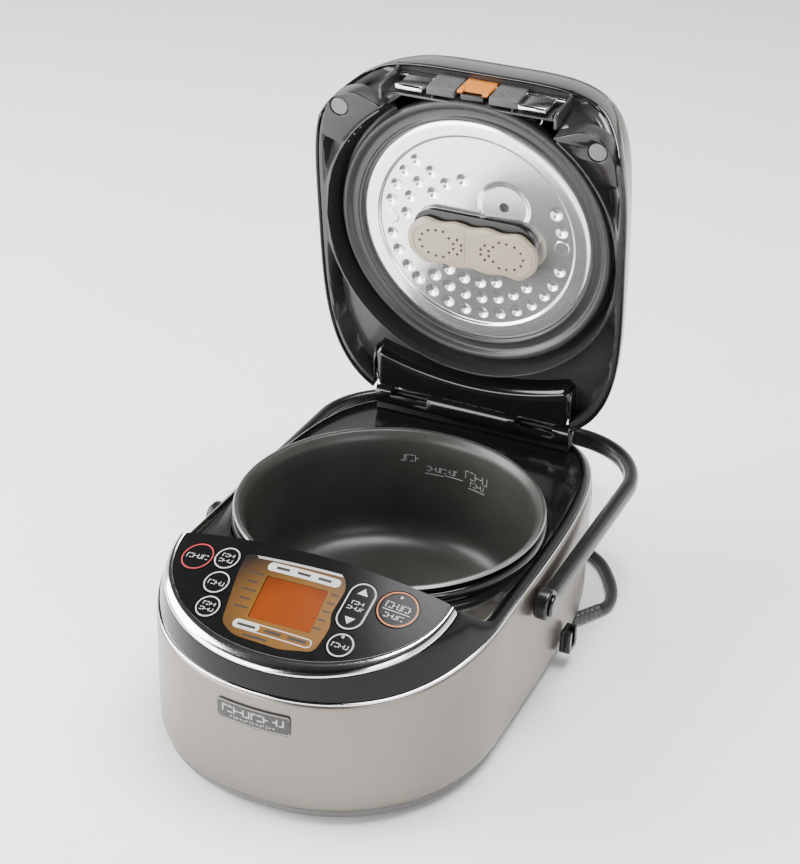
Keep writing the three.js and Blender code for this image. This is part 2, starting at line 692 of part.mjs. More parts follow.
// ---------------------------------------------------------------- lid shell and domed top
// A point of the lid's outline, in the direction of an angle, at a height on the dome.
function lidPoint(angle, height, inset = 0) {
  let step = DOME.findIndex((row) => row[0] >= height);
  step = step < 0 ? DOME.length - 1 : Math.max(1, step);
  const [low, high] = [DOME[step - 1], DOME[step]];
  const t = clamp01((height - low[0]) / (high[0] - low[0]));
  const [sides, front, rear] = [1, 2, 3].map((k) => mix(low[k], high[k], t) + inset);
  const [c, s] = [Math.cos(angle), Math.sin(angle)];
  const power = s < 0 ? LID.frontPower : LID.rearPower;
  const x = (LID.halfWidth - sides) * Math.sign(c) * Math.abs(c) ** (2 / power);
  const depth = s < 0 ? -(LID.front + front) : LID.rear - rear;
  return point(x, depth * Math.sign(s) * Math.abs(s) ** (2 / power), height);
}

const frontRise = (y) => smooth((LID_RIM.riseStartY - y) / (LID_RIM.riseStartY - LID_RIM.riseEndY));

// A ring on the lid whose height runs from one value at the sides and rear to another at the front.
function lidRing(sideZ, frontZ, inset = 0) {
  return Array.from({ length: SEGMENTS }, (_, i) => {
    const angle = (i / SEGMENTS) * 2 * Math.PI;
    const y = lidPoint(angle, sideZ, inset).y;
    return lidPoint(angle, mix(sideZ, frontZ, frontRise(y)), inset);
  });
}

const hingeNotch = solid(box(-81, 81, 138, 170, 100, 134.5));

function lidShell() {
  const rim = [LID_RIM.sideZ, LID_RIM.frontZ];
  const shell = skin(
    [
      lidRing(...rim, 0.6),
      lidRing(rim[0] + 1.5, rim[1] + 1.5, 0),
      lidRing(127, 166, 0),
      lidRing(132, 180, 0),
      lidRing(132, 180, LID.wall),
      lidRing(127, 166, LID.wall),
      lidRing(...rim, LID.wall),
    ],
    false,
  );
  return geometryOf(cut(solid(shell), hingeNotch));
}

const VENT = { x: 0, y: 34, width: 62, height: 46 };
const BUTTON = { x: 0, y: -62, width: 46, height: 15 };

function lidTopPlate() {
  const heights = [
    [132.8, 180.8],
    [150, 184],
    [170, 189],
    [188, 194],
    [199, 200],
    [205, 205],
  ];
  const outside = heights.map(([side, front]) => lidRing(side, front, 0.1));
  const inside = heights.map(([side, front]) => lidRing(side, front, 1.4)).reverse();
  const sunk = inside.map((ring) => ring.map((p) => point(p.x, p.y, p.z - (p.z > 190 ? 1.2 : 0))));
  const top = outside.at(-1).map((p) => point(p.x * 0.5, p.y * 0.5, LID_TOP));
  const underTop = top.map((p) => point(p.x, p.y, p.z - 1.2));
  const dome = solid(skin([top, ...outside.reverse(), ...sunk.reverse(), underTop], true));
  const ventHole = solid(plate(roundedOutline(VENT.x, VENT.y, VENT.width, VENT.height, 16), 190, 220));
  const buttonHole = roundedOutline(BUTTON.x, BUTTON.y, BUTTON.width, BUTTON.height, 5);
  return geometryOf(cut(dome, ventHole, solid(plate(buttonHole, 190, 220)), hingeNotch));
}

add("lid_shell", lidShell(), "glossBlack", lid);
add("lid_top_plate", lidTopPlate(), "champagne", lid);

// ---------------------------------------------------------------- lid inner frame
const WELL = { radius: 112.4, roofRadius: 108.5, wall: 2, bendZ: 129, roofZ: 137.5 };
const LATCH_BAY = { halfWidth: 64, front: -112.2, rear: -103.2, roofZ: 151 };

function lidInnerFrame() {
  const inset = LID.wall + GAP + 0.2;
  const low = [LID_RIM.sideZ + 1.4, LID_RIM.frontZ + 1];
  const rim = solid(skin([lidRing(...low, inset), lidRing(low[0] + 2.6, low[1] + 2.6, inset)], true));
  const { radius, roofRadius, wall, bendZ, roofZ } = WELL;
  const cup = turned(
    [
      [0, roofZ + 2.2],
      [roofRadius + 1.5, roofZ + 2.2],
      [radius + wall, bendZ],
      [radius + wall, 117.8],
      [radius, 117.8],
      [radius, bendZ],
      [roofRadius, roofZ],
      [0, roofZ],
    ],
    48,
  );
  const bayWalls = box(-66.5, 66.5, -110.8, -101, 117.8, LATCH_BAY.roofZ + 2.2);
  const { halfWidth, front, rear } = LATCH_BAY;
  const bayRoom = solid(box(-halfWidth, halfWidth, -130, rear, 100, LATCH_BAY.roofZ));
  const overConsole = solid(box(-130, 130, -135, front, 100, 147.8));
  const innerLidRoom = solid(cylinderZ(0, 0, 106.2, 100, roofZ, 48));
  const potLipRoom = solid(cylinderZ(0, 0, radius - 0.1, 100, 128.5, 48));
  const cupRoom = solid(cylinderZ(0, 0, radius, 100, roofZ, 48));
  const arms = KNUCKLES_LID.map(([x0, x1]) => {
    const arm = bar(
      [
        [134, 137.7],
        [134, 139.7],
        [138, 139.7],
        [149, 131.5],
        [HINGE.y + 4, HINGE.z + 2],
        [HINGE.y - 5, HINGE.z - 2],
        [142, 131],
      ],
      x0,
      x1,
    );
    return join(solid(arm), solid(cylinderX(HINGE.y, HINGE.z, HINGE.knuckleRadius, x0, x1)));
  });
  const roofStrip = solid(box(-80, 80, 108, 136, roofZ, roofZ + 2.2));
  const plateBody = join(cut(rim, cupRoom, hingeNotch), solid(cup));
  const withBay = join(cut(plateBody, bayRoom), solid(bayWalls));
  const opened = cut(withBay, bayRoom, overConsole, innerLidRoom, potLipRoom);
  const bore = solid(cylinderX(HINGE.y, HINGE.z, HINGE.pinRadius + GAP, -110, 110));
  return geometryOf(cut(join(opened, roofStrip, ...arms), bore));
}
add("lid_inner_frame", lidInnerFrame(), "satinBlack", lid);

const heater = [
  [0, 135.2],
  [100, 135.2],
  [100, 136.4],
  [0, 136.4],
];
add("lid_heater_plate", turned(heater, 32), "aluminium", lid);

// Both hooks hang from one shaft, so they let go of the catch together. The release lever turns on it too.
const LATCH = { y: -108.2, z: 147, shaftRadius: 1.8 };
const shaftBore = solid(cylinderX(LATCH.y, LATCH.z, LATCH.shaftRadius + GAP, -40, 40, 16));
for (const [side, low] of [
  ["left", -34],
  ["right", 13],
]) {
  const block = solid(box(low, low + 21, -111.8, -106, 138, 150.6));
  add(`arrow_block_${side}`, geometryOf(cut(block, shaftBore)), "darkGrey", lid);
}

const leverSide = [
  [-111.8, 140],
  [-109.8, 137],
  [-107, 137],
  [-106.4, 141],
  [-106.4, 145],
  [-107.2, 150],
  [-111.4, 150],
];
add("release_lever", geometryOf(cut(solid(bar(leverSide, -11.6, 11.6)), shaftBore)), "orange", lid);

function lidLatch() {
  const shaft = solid(cylinderX(LATCH.y, LATCH.z, LATCH.shaftRadius, -62, 62, 12));
  const hookSide = [
    [-109.3, 147],
    [-109.3, 125.4],
    [-111.6, 125.4],
    [-111.6, 124.2],
    [-110.6, 123.4],
    [-107.9, 123.4],
    [-107.2, 124.4],
    [-107.2, 147],
  ];
  return [-56, 36].map((x0) => solid(bar(hookSide, x0, x0 + 20))).reduce((a, b) => a.add(b), shaft);
}
add("lid_latch", geometryOf(lidLatch()), "chrome", lid);

// ---------------------------------------------------------------- inner lid, which pulls off
const innerLidPlate = turned(
  [
    [0, INNER_LID_Z + 1.6],
    [75.6, INNER_LID_Z + 1.6],
    [77, INNER_LID_Z],
    [88.4, INNER_LID_Z],
    [88.4, INNER_LID_Z + 3],
    [87, INNER_LID_Z + 3],
    [86.6, INNER_LID_Z + 1.2],
    [78, INNER_LID_Z + 1.2],
    [76.6, INNER_LID_Z + 2.8],
    [0, INNER_LID_Z + 2.8],
  ],
  40,
);
const ballHole = solid(cylinderZ(22, -24.4, 3.7, 120, 140, 16));
add("inner_lid_plate", geometryOf(cut(solid(innerLidPlate), ballHole)), "steel", lid);
const gasket = closedProfile([
  [88.8, 131.2],
  [90.5, 129.4],
  [97, 128.8],
  [101.5, 127.3],
  [104.9, 127.6],
  [104.9, 134.6],
  [88.8, 134.6],
]);
add("inner_lid_gasket", turned(gasket, 40), "rubber", lid);
add(
  "valve_base",
  plate(roundedOutline(0.5, 4, 96, 38, 17, 6), INNER_LID_Z - 3.2, INNER_LID_Z + 1.2),
  "satinBlack",
  lid,
);
add(
  "valve_cover",
  plate(roundedOutline(0.5, 9, 102, 36, 17, 6), INNER_LID_Z - 9, INNER_LID_Z - 3.6),
  "beige",
  lid,
);

// ---------------------------------------------------------------- steam vent and open button on the lid
const ventBase = solid(
  plate(roundedOutline(VENT.x, VENT.y, VENT.width - 1, VENT.height - 1, 15.5), 192, 203.5),
);
const ventWell = solid(
  plate(roundedOutline(VENT.x, VENT.y, VENT.width - 5, VENT.height - 5, 13.5), 196, 210),
);
add("steam_vent_base", geometryOf(cut(ventBase, ventWell)), "satinBlack", lid);
add(
  "steam_vent_cap",
  plate(roundedOutline(VENT.x, VENT.y, VENT.width - 6, VENT.height - 6, 13), 196.6, 210.5),
  "satinBlack",
  lid,
);
add(
  "open_button",
  plate(roundedOutline(BUTTON.x, BUTTON.y, BUTTON.width - 1, BUTTON.height - 1, 4.5), 199.5, 208.2),
  "chrome",
  lid,
);

// ---------------------------------------------------------------- carry handle
function handleTube() {
  const { x, y, z, reach, corner, halfThick, halfTall } = HANDLE;
  const turnSteps = 6;
  const route = [point(x, 0, 0), point(x, (reach - corner) / 2, 0)];
  for (let k = 0; k <= turnSteps; k++) {
    const angle = ((k / turnSteps) * Math.PI) / 2;
    route.push(point(x - corner + corner * Math.cos(angle), reach - corner + corner * Math.sin(angle), 0));
  }
  const mirrored = route.map((p) => point(-p.x, p.y, 0)).reverse();
  const path = [...route, ...mirrored];
  const rings = path.map((p, i) => {
    const before = path[Math.max(0, i - 1)];
    const after = path[Math.min(path.length - 1, i + 1)];
    const along = after.clone().sub(before).normalize();
    const across = point(along.y, -along.x, 0);
    return Array.from({ length: 10 }, (_, k) => {
      const around = (k / 10) * 2 * Math.PI;
      const sideways = across.clone().multiplyScalar(halfThick * Math.cos(around));
      return p.clone().add(sideways).add(point(0, y, z + halfTall * Math.sin(around)));
    });
  });
  const tube = solid(skin(rings, true));
  const eyes = [-1, 1].map((side) => {
    const [low, high] = side > 0 ? [x - 5, x + 5] : [-x - 5, -x + 5];
    return solid(cylinderX(y, z, 11, low, high));
  });
  const bores = solid(cylinderX(y, z, 5.4, -140, 140));
  return geometryOf(cut(join(tube, ...eyes), bores));
}
add("carry_handle", handleTube(), "satinBlack");

const PIVOT = { foot: 120.3, shoulder: 132.2, tip: 134.3 };
for (const [side, sign] of [
  ["left", -1],
  ["right", 1],
]) {
  const between = (from, to) => [Math.min(sign * from, sign * to), Math.max(sign * from, sign * to)];
  const spindle = cylinderX(HANDLE.y, HANDLE.z, 5, ...between(PIVOT.foot, PIVOT.tip - 1));
  const head = cylinderX(HANDLE.y, HANDLE.z, 8, ...between(PIVOT.shoulder, PIVOT.tip));
  add(`handle_pivot_${side}`, geometryOf(join(solid(spindle), solid(head))), "glossBlack");
}

// ---------------------------------------------------------------- spatula holder mount, right side
const holderBlock = solid(box(120.5, 128.5, 36, 52, 13, 31));
const holderSlot = solid(box(123.5, 130, 40.5, 47.5, 17, 40));
const holder = cut(holderBlock, holderSlot);
add("spatula_holder_mount", geometryOf(holder), "satinBlack");

// ---------------------------------------------------------------- mains cord, laid on the floor behind
add("cord_strain_relief", gland(4.9, -4, 24), "rubber");

const CORD_ROUTE = [
  [124.5, 113.5, 5.2],
  [127, 118.6, 4.8],
  [128.2, 127, CORD_Z],
  [126.4, 138, CORD_Z],
  [121.6, 150, CORD_Z],
  [114.6, 162, CORD_Z],
  [106, 174, CORD_Z],
  [96.3, 182.4, CORD_Z],
  [85, 188.6, CORD_Z],
  [72.7, 192.5, CORD_Z],
  [58, 193.75, CORD_Z],
  [42.4, 193.75, CORD_Z],
];
const TAIL_ROUTE = [
  [-52.4, 213.3, 10.4],
  [-46, 203.2, 7.9],
  [-36, 193.3, 5.2],
  [-22, 187.3, 5.4],
  [-8, 187, 9.6],
];

function tubeAlong(points, diameter, sides, steps) {
  const curve = new THREE.CatmullRomCurve3(points.map((p) => point(...p)));
  const section = new THREE.Shape(
    Array.from({ length: sides }, (_, k) => {
      const angle = (k / sides) * 2 * Math.PI;
      return new THREE.Vector2((diameter / 2) * Math.cos(angle), (diameter / 2) * Math.sin(angle));
    }),
  );
  return new THREE.ExtrudeGeometry(section, { steps, bevelEnabled: false, extrudePath: curve });
}
add("cord_lead", tubeAlong(CORD_ROUTE, CORD.diameter, 8, 12), "rubber");
add("cord_tail", tubeAlong(TAIL_ROUTE, CORD.diameter, 8, 10), "rubber");

// The rest of the cord is wound into a round coil two turns wide and two high, and the plug lies beside it.
const coilInner = CORD.coilRadius - CORD.diameter;
const coilOuter = CORD.coilRadius + CORD.diameter;
const coilSection = closedProfile([
  [coilInner + 2, FLOOR_GAP],
  [coilOuter - 2, FLOOR_GAP],
  [coilOuter, FLOOR_GAP + 2.5],
  [coilOuter, FLOOR_GAP + 12],
  [coilOuter - 3, FLOOR_GAP + 16.4],
  [coilInner + 3, FLOOR_GAP + 16.4],
  [coilInner, FLOOR_GAP + 12],
  [coilInner, FLOOR_GAP + 2.5],
]);
add("cord_coil", turned(coilSection, 28).translate(CORD.coilX, CORD.coilY, 0), "rubber");

const PLUG = { x: -66, y: 232, z: 10.5 };
function mainsPlug() {
  const body = skin(
    [
      [-22, 4, 4],
      [-18, 5.5, 5.5],
      [-4, 7, 6.5],
      [2, 13, 9],
      [12, 13.5, 9.6],
      [15, 12.5, 8.8],
    ].map(([x, halfWidth, halfTall]) =>
      Array.from({ length: 16 }, (_, k) => {
        const angle = (k / 16) * 2 * Math.PI;
        const [c, s] = [Math.cos(angle), Math.sin(angle)];
        const y = halfWidth * Math.sign(c) * Math.abs(c) ** 0.6;
        return point(x, y, halfTall * Math.sign(s) * Math.abs(s) ** 0.6);
      }),
    ),
    true,
  );
  const blades = [-6.35, 6.35].map((y) => solid(box(14, 32, y - 3.1, y + 3.1, -0.8, 0.8)));
  return geometryOf(join(solid(body), ...blades)).rotateZ(2.2).translate(PLUG.x, PLUG.y, PLUG.z);
}
add("mains_plug", mainsPlug(), "rubber");

export default whole;
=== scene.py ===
"""Rice cooker with its lid open: the visible surfaces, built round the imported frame.

Helpers take millimetres, with the pot's axis at x = 0, y = 0, and turn them into metres in the row frame.
Pieces of the lid are shaped as they lie when it is closed, then swung open about the hinge.
"""

import json
import math

import bmesh
import bpy
import numpy as np
from mathutils import Matrix, Vector
from mathutils.geometry import delaunay_2d_cdt


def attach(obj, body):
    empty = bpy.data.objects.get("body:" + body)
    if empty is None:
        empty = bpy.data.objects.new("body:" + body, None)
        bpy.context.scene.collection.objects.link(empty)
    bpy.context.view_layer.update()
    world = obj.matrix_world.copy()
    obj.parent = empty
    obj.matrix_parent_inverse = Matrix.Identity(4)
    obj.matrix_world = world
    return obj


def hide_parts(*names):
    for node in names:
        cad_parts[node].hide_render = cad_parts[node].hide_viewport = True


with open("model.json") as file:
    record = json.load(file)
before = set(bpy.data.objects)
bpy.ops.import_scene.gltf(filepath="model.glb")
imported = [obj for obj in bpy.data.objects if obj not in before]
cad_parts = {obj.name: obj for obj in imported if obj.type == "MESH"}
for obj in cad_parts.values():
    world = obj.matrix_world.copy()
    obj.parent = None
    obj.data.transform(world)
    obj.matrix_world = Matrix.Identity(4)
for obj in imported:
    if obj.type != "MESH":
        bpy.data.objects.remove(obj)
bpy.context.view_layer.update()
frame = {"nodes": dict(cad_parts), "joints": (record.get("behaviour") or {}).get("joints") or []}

MM = 0.001
JOINTS = {joint["name"]: joint for joint in frame["joints"]}
HINGE_Y, HINGE_Z = 153.5, 126.4
SHIFT_Y = JOINTS["lid_hinge"]["pos_m"][1] / MM - HINGE_Y
LID_OPEN = math.radians(82.4)
AROUND = 192  # points round a full outline
SIDES = (("left", -1), ("right", 1))

# ---------------------------------------------------------------- camera, at the photograph's angle
AZIMUTH, ELEVATION, ROLL = (math.radians(a) for a in (24.025, 28.868, 1.513))
AIM = Vector((0, 14.27 + SHIFT_Y, 175.94)) * MM
DISTANCE = 1363.5 * MM
LENS = 81.54


def make_camera():
    flat = math.cos(ELEVATION)
    away = Vector((math.sin(AZIMUTH) * flat, -math.cos(AZIMUTH) * flat, math.sin(ELEVATION)))
    level = Vector((math.cos(AZIMUTH), math.sin(AZIMUTH), 0))
    upright = away.cross(level)
    right = math.cos(ROLL) * level + math.sin(ROLL) * upright
    up = math.cos(ROLL) * upright - math.sin(ROLL) * level
    data = bpy.data.cameras.new("camera")
    data.lens = LENS
    data.clip_start, data.clip_end = 0.05, 30
    camera = bpy.data.objects.new("camera", data)
    turn = Matrix((right, up, away)).transposed().to_4x4()
    camera.matrix_world = Matrix.Translation(AIM + away * DISTANCE) @ turn
    bpy.context.scene.collection.objects.link(camera)
    bpy.context.scene.camera = camera


make_camera()

# ---------------------------------------------------------------- small maths
def clamp(t):
    return min(1.0, max(0.0, t))


def smooth(t):
    t = clamp(t)
    return t * t * (3 - 2 * t)


def mix(a, b, t):
    return a + (b - a) * t


def power(value, exponent):
    return math.copysign(abs(value) ** exponent, value)


def polar(radius, angle, x=0, y=0):
    return x + radius * math.cos(angle), y + radius * math.sin(angle)


OPENING = Matrix.Translation((0, HINGE_Y, HINGE_Z)) @ Matrix.Rotation(-LID_OPEN, 4, "X")
OPENING = OPENING @ Matrix.Translation((0, -HINGE_Y, -HINGE_Z))
TO_ROW = Matrix.Diagonal((MM, MM, MM, 1)) @ Matrix.Translation((0, SHIFT_Y, 0))
ON_LID = {"lid", "latch", "lever", "button", "inner_lid", "steam_cap"}


# ---------------------------------------------------------------- procedural materials
BROAD_GRAIN = 14
RELIEF_DEPTH = 0.0002


def make_material(name, colour, roughness, metallic, tint, grain, bump, **extra):
    """A principled surface with fine colour variation, uneven gloss and a moulded or brushed grain."""
    material = bpy.data.materials.new(name)
    material.use_nodes = True
    nodes, links = material.node_tree.nodes, material.node_tree.links
    shader = nodes["Principled BSDF"]
    shader.inputs["Metallic"].default_value = metallic
    shader.inputs["Specular IOR Level"].default_value = extra.get("specular", 0.5)
    shader.inputs["Coat Weight"].default_value = extra.get("coat", 0)
    shader.inputs["Coat Roughness"].default_value = extra.get("coat_roughness", 0.05)
    place = nodes.new("ShaderNodeTexCoord")
    stretch = nodes.new("ShaderNodeMapping")
    stretch.inputs["Scale"].default_value = extra.get("stretch", (1, 1, 1))
    links.new(place.outputs["Object"], stretch.inputs["Vector"])
    broad = nodes.new("ShaderNodeTexNoise")
    broad.inputs["Scale"].default_value = BROAD_GRAIN
    links.new(stretch.outputs["Vector"], broad.inputs["Vector"])
    fine = nodes.new("ShaderNodeTexNoise")
    fine.inputs["Scale"].default_value = grain
    fine.inputs["Detail"].default_value = 3
    links.new(stretch.outputs["Vector"], fine.inputs["Vector"])

    ramp = nodes.new("ShaderNodeValToRGB")
    dark = [c * (1 - tint) for c in colour]
    light = [min(1, c * (1 + tint)) for c in colour]
    ramp.color_ramp.elements[0].color = (*dark, 1)
    ramp.color_ramp.elements[0].position = 0.35
    ramp.color_ramp.elements[1].color = (*light, 1)
    ramp.color_ramp.elements[1].position = 0.65
    both = nodes.new("ShaderNodeMath")
    both.operation = "MULTIPLY_ADD"
    links.new(fine.outputs["Fac"], both.inputs[0])
    both.inputs[1].default_value = 0.5
    half = nodes.new("ShaderNodeMath")
    half.operation = "MULTIPLY"
    half.inputs[1].default_value = 0.5
    links.new(broad.outputs["Fac"], half.inputs[0])
    links.new(half.outputs[0], both.inputs[2])
    links.new(both.outputs[0], ramp.inputs["Fac"])
    links.new(ramp.outputs["Color"], shader.inputs["Base Color"])

    gloss = nodes.new("ShaderNodeMapRange")
    gloss.inputs["To Min"].default_value = roughness * 0.85
    gloss.inputs["To Max"].default_value = min(1, roughness * 1.2)
    links.new(both.outputs[0], gloss.inputs["Value"])
    links.new(gloss.outputs["Result"], shader.inputs["Roughness"])

    relief = nodes.new("ShaderNodeBump")
    relief.inputs["Strength"].default_value = bump
    relief.inputs["Distance"].default_value = RELIEF_DEPTH
    links.new(fine.outputs["Fac"], relief.inputs["Height"])
    links.new(relief.outputs["Normal"], shader.inputs["Normal"])
    return material


BRUSHED = (0.4, 0.4, 9)  # how the grain is stretched along X, Y and Z
# Each look: name, colour, roughness, metallic, tint, grain, bump, then any extra settings.
LOOKS = {
    "champagne": (
        "champagne metallic", (0.205, 0.184, 0.161), 0.33, 0.9, 0.03, 900, 0.05,
        ("stretch", (6, 6, 0.35)), ("coat", 0.12), ("coat_roughness", 0.25),
    ),
    "chrome": ("bright trim", (0.83, 0.835, 0.845), 0.13, 1, 0.03, 90, 0.01),
    "gloss_black": (
        "gloss black plastic", (0.006, 0.006, 0.0062), 0.13, 0, 0.15, 70, 0.012,
        ("coat", 0.15),
    ),
    # The same gloss black, copied darker and barely reflective: painted shade for the dark reflection along
    # the shoulder.
    "shoulder_black": (
        "shoulder plastic", (0.004, 0.004, 0.0041), 0.12, 0, 0.15, 70, 0.012,
        ("specular", 0.2),
    ),
    "console_black": (
        "console black lens", (0.005, 0.005, 0.0052), 0.2, 0, 0.15, 120, 0.01,
        ("specular", 0.16),
    ),
    "tray_black": ("lid tray plastic", (0.026, 0.026, 0.027), 0.3, 0, 0.12, 420, 0.03, ("coat", 0.4)),
    "satin_black": ("satin black plastic", (0.010, 0.010, 0.0103), 0.38, 0, 0.25, 1500, 0.14),
    "handle_black": ("handle plastic", (0.006, 0.006, 0.0062), 0.26, 0, 0.25, 1500, 0.06),
    "dark_grey": ("dark grey plastic", (0.055, 0.055, 0.057), 0.45, 0, 0.15, 1500, 0.15),
    "base_grey": ("base grey plastic", (0.10, 0.10, 0.10), 0.5, 0, 0.12, 1500, 0.16),
    "rubber": ("black rubber", (0.034, 0.0345, 0.035), 0.36, 0, 0.2, 700, 0.05),
    "cord_rubber": ("cord rubber", (0.006, 0.006, 0.0062), 0.42, 0, 0.2, 900, 0.1),
    "non_stick": ("non-stick coating", (0.034, 0.033, 0.030), 0.36, 0.15, 0.35, 1300, 0.16),
    "plate_steel": (
        "pressed steel", (0.95, 0.946, 0.94), 0.15, 0.86, 0.02, 500, 0.012,
        ("stretch", (1, 1, 4)),
    ),
    "satin_steel": ("satin steel", (0.34, 0.34, 0.345), 0.3, 1, 0.04, 500, 0.05, ("stretch", BRUSHED)),
    "black_steel": ("blackened steel", (0.05, 0.05, 0.052), 0.4, 0.9, 0.1, 500, 0.05),
    "orange": ("orange plastic", (0.44, 0.14, 0.015), 0.36, 0, 0.06, 1200, 0.08),
    "beige": ("beige plastic", (0.40, 0.342, 0.265), 0.42, 0, 0.05, 1200, 0.1),
    "badge_grey": ("badge grey", (0.03, 0.029, 0.028), 0.45, 0.1, 0.08, 900, 0.05),
    "plug_grey": ("grey rubber plug", (0.15, 0.148, 0.145), 0.5, 0, 0.08, 900, 0.1),
    "print_white": ("white print", (0.38, 0.38, 0.37), 0.4, 0, 0.04, 800, 0.03),
    "print_grey": ("grey print", (0.32, 0.32, 0.315), 0.4, 0, 0.06, 800, 0.03),
    "print_dark": ("dark print", (0.008, 0.006, 0.004), 0.4, 0, 0.1, 800, 0.03),
    "print_red": ("red print", (0.36, 0.02, 0.03), 0.4, 0, 0.08, 800, 0.03),
    "print_orange": ("orange print", (0.46, 0.12, 0.015), 0.4, 0, 0.06, 800, 0.03),
    "aluminium": ("satin aluminium", (0.62, 0.625, 0.63), 0.36, 1, 0.05, 500, 0.06, ("stretch", BRUSHED)),
    "copper": ("litz winding", (0.45, 0.17, 0.06), 0.36, 0.9, 0.3, 700, 0.5),
    "board": ("circuit board", (0.02, 0.11, 0.045), 0.45, 0, 0.3, 240, 0.1, ("coat", 0.2)),
    "brass": ("plug blade", (0.62, 0.50, 0.28), 0.28, 1, 0.04, 300, 0.03),
    # A light silver strip for the display's upper edge: a painted highlight.
    "silver_print": ("silver print", (0.55, 0.55, 0.55), 0.3, 0.7, 0.05, 900, 0.05),
}
MATERIAL = {look: make_material(*row[:7], **dict(row[7:])) for look, row in LOOKS.items()}


# ---------------------------------------------------------------- mesh making
def finish_piece(obj, body, look, replaces=()):
    """Gives a piece its material and slot, and hands it to its body."""
    obj.data.materials.clear()
    obj.data.materials.append(MATERIAL[look])
    if replaces:
        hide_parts(*replaces)
    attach(obj, body)
    return obj


def shade(mesh, degrees):
    """Smooth shading that keeps edges sharper than an angle."""
    built = bmesh.new()
    built.from_mesh(mesh)
    bmesh.ops.remove_doubles(built, verts=built.verts, dist=1e-7)
    bmesh.ops.recalc_face_normals(built, faces=built.faces)
    limit = math.radians(degrees)
    for edge in built.edges:
        edge.smooth = len(edge.link_faces) == 2 and edge.calc_face_angle(0) < limit
    for face in built.faces:
        face.smooth = True
    built.to_mesh(mesh)
    built.free()


def object_from(name, points, faces, body, look, replaces=(), degrees=32):
    """points in millimetres, shaped with the lid closed where the body is part of the lid."""
    place = TO_ROW @ OPENING if body in ON_LID else TO_ROW
    mesh = bpy.data.meshes.new(name)
    mesh.from_pydata([place @ Vector(p) for p in points], [], faces)
    shade(mesh, degrees)
    obj = bpy.data.objects.new(name.replace(" ", "_"), mesh)
    bpy.context.scene.collection.objects.link(obj)
    return finish_piece(obj, body, look, replaces)


def lofted(rings, closed=False):
    """Points and faces of a skin over rings of equal length."""
    count = len(rings[0])
    points = [tuple(p) for ring in rings for p in ring]
    faces = []
    for band in range(len(rings) if closed else len(rings) - 1):
        after = (band + 1) % len(rings)
        for i in range(count):
            j = (i + 1) % count
            faces.append((band * count + i, band * count + j, after * count + j, after * count + i))
    if not closed:
        faces.append(tuple(range(count))[::-1])
        faces.append(tuple(range(len(points) - count, len(points))))
    return points, faces


def skinned(name, rings, body, look, replaces=(), degrees=50, closed=False):
    """A piece whose surface runs over rings of equal length."""
    return object_from(name, *lofted(rings, closed), body, look, replaces, degrees)


def turned(profile, x=0, y=0, segments=AROUND):
    """Points and faces of a closed chain of (radius, height) turned about a Z axis."""
    points, rows = [], []
    for radius, height in profile:
        if radius < 1e-6:
            rows.append([len(points)] * segments)
            points.append((x, y, height))
            continue
        rows.append(list(range(len(points), len(points) + segments)))
        for i in range(segments):
            angle = 2 * math.pi * i / segments
            points.append((*polar(radius, angle, x, y), height))
    faces = []
    for k in range(len(rows)):
        low, high = rows[k], rows[(k + 1) % len(rows)]
        if low[0] == low[1] and high[0] == high[1]:
            continue
        for i in range(segments):
            j = (i + 1) % segments
            corners = [low[i], low[j], high[j], high[i]]
            kept = [c for n, c in enumerate(corners) if c != corners[n - 1]]
            faces.append(tuple(kept))
    return points, faces


def rounded_profile(corners, steps=5):
    """A closed chain of (u, v, radius) corners, each rounded off by an arc-like curve."""
    out = []
    for i, (u, v, radius) in enumerate(corners):
        here = Vector((u, v))
        before = Vector(corners[i - 1][:2]) - here
        after = Vector(corners[(i + 1) % len(corners)][:2]) - here
        reach = min(radius, before.length * 0.49, after.length * 0.49)
        if reach < 1e-6:
            out.append((u, v))
            continue
        start = here + before.normalized() * reach
        end = here + after.normalized() * reach
        for k in range(steps + 1):
            t = k / steps
            p = start * (1 - t) ** 2 + here * 2 * t * (1 - t) + end * t * t
            out.append((p.x, p.y))
    return out


def turned_piece(name, corners, body, look, replaces=(), segments=AROUND, degrees=40, place=(0, 0)):
    points, faces = turned(rounded_profile(corners), *place, segments)
    return object_from(name, points, faces, body, look, replaces, degrees)


def stadium(x, y, width, height, radius, steps=12):
    outline = []
    for corner, (sx, sy) in enumerate(((1, 1), (-1, 1), (-1, -1), (1, -1))):
        cx, cy = x + sx * (width / 2 - radius), y + sy * (height / 2 - radius)
        for k in range(steps + 1):
            outline.append(polar(radius, (corner + k / steps) * math.pi / 2, cx, cy))
    return outline


def circle(x, y, radius, steps):
    return [polar(radius, 2 * math.pi * k / steps, x, y) for k in range(steps)]


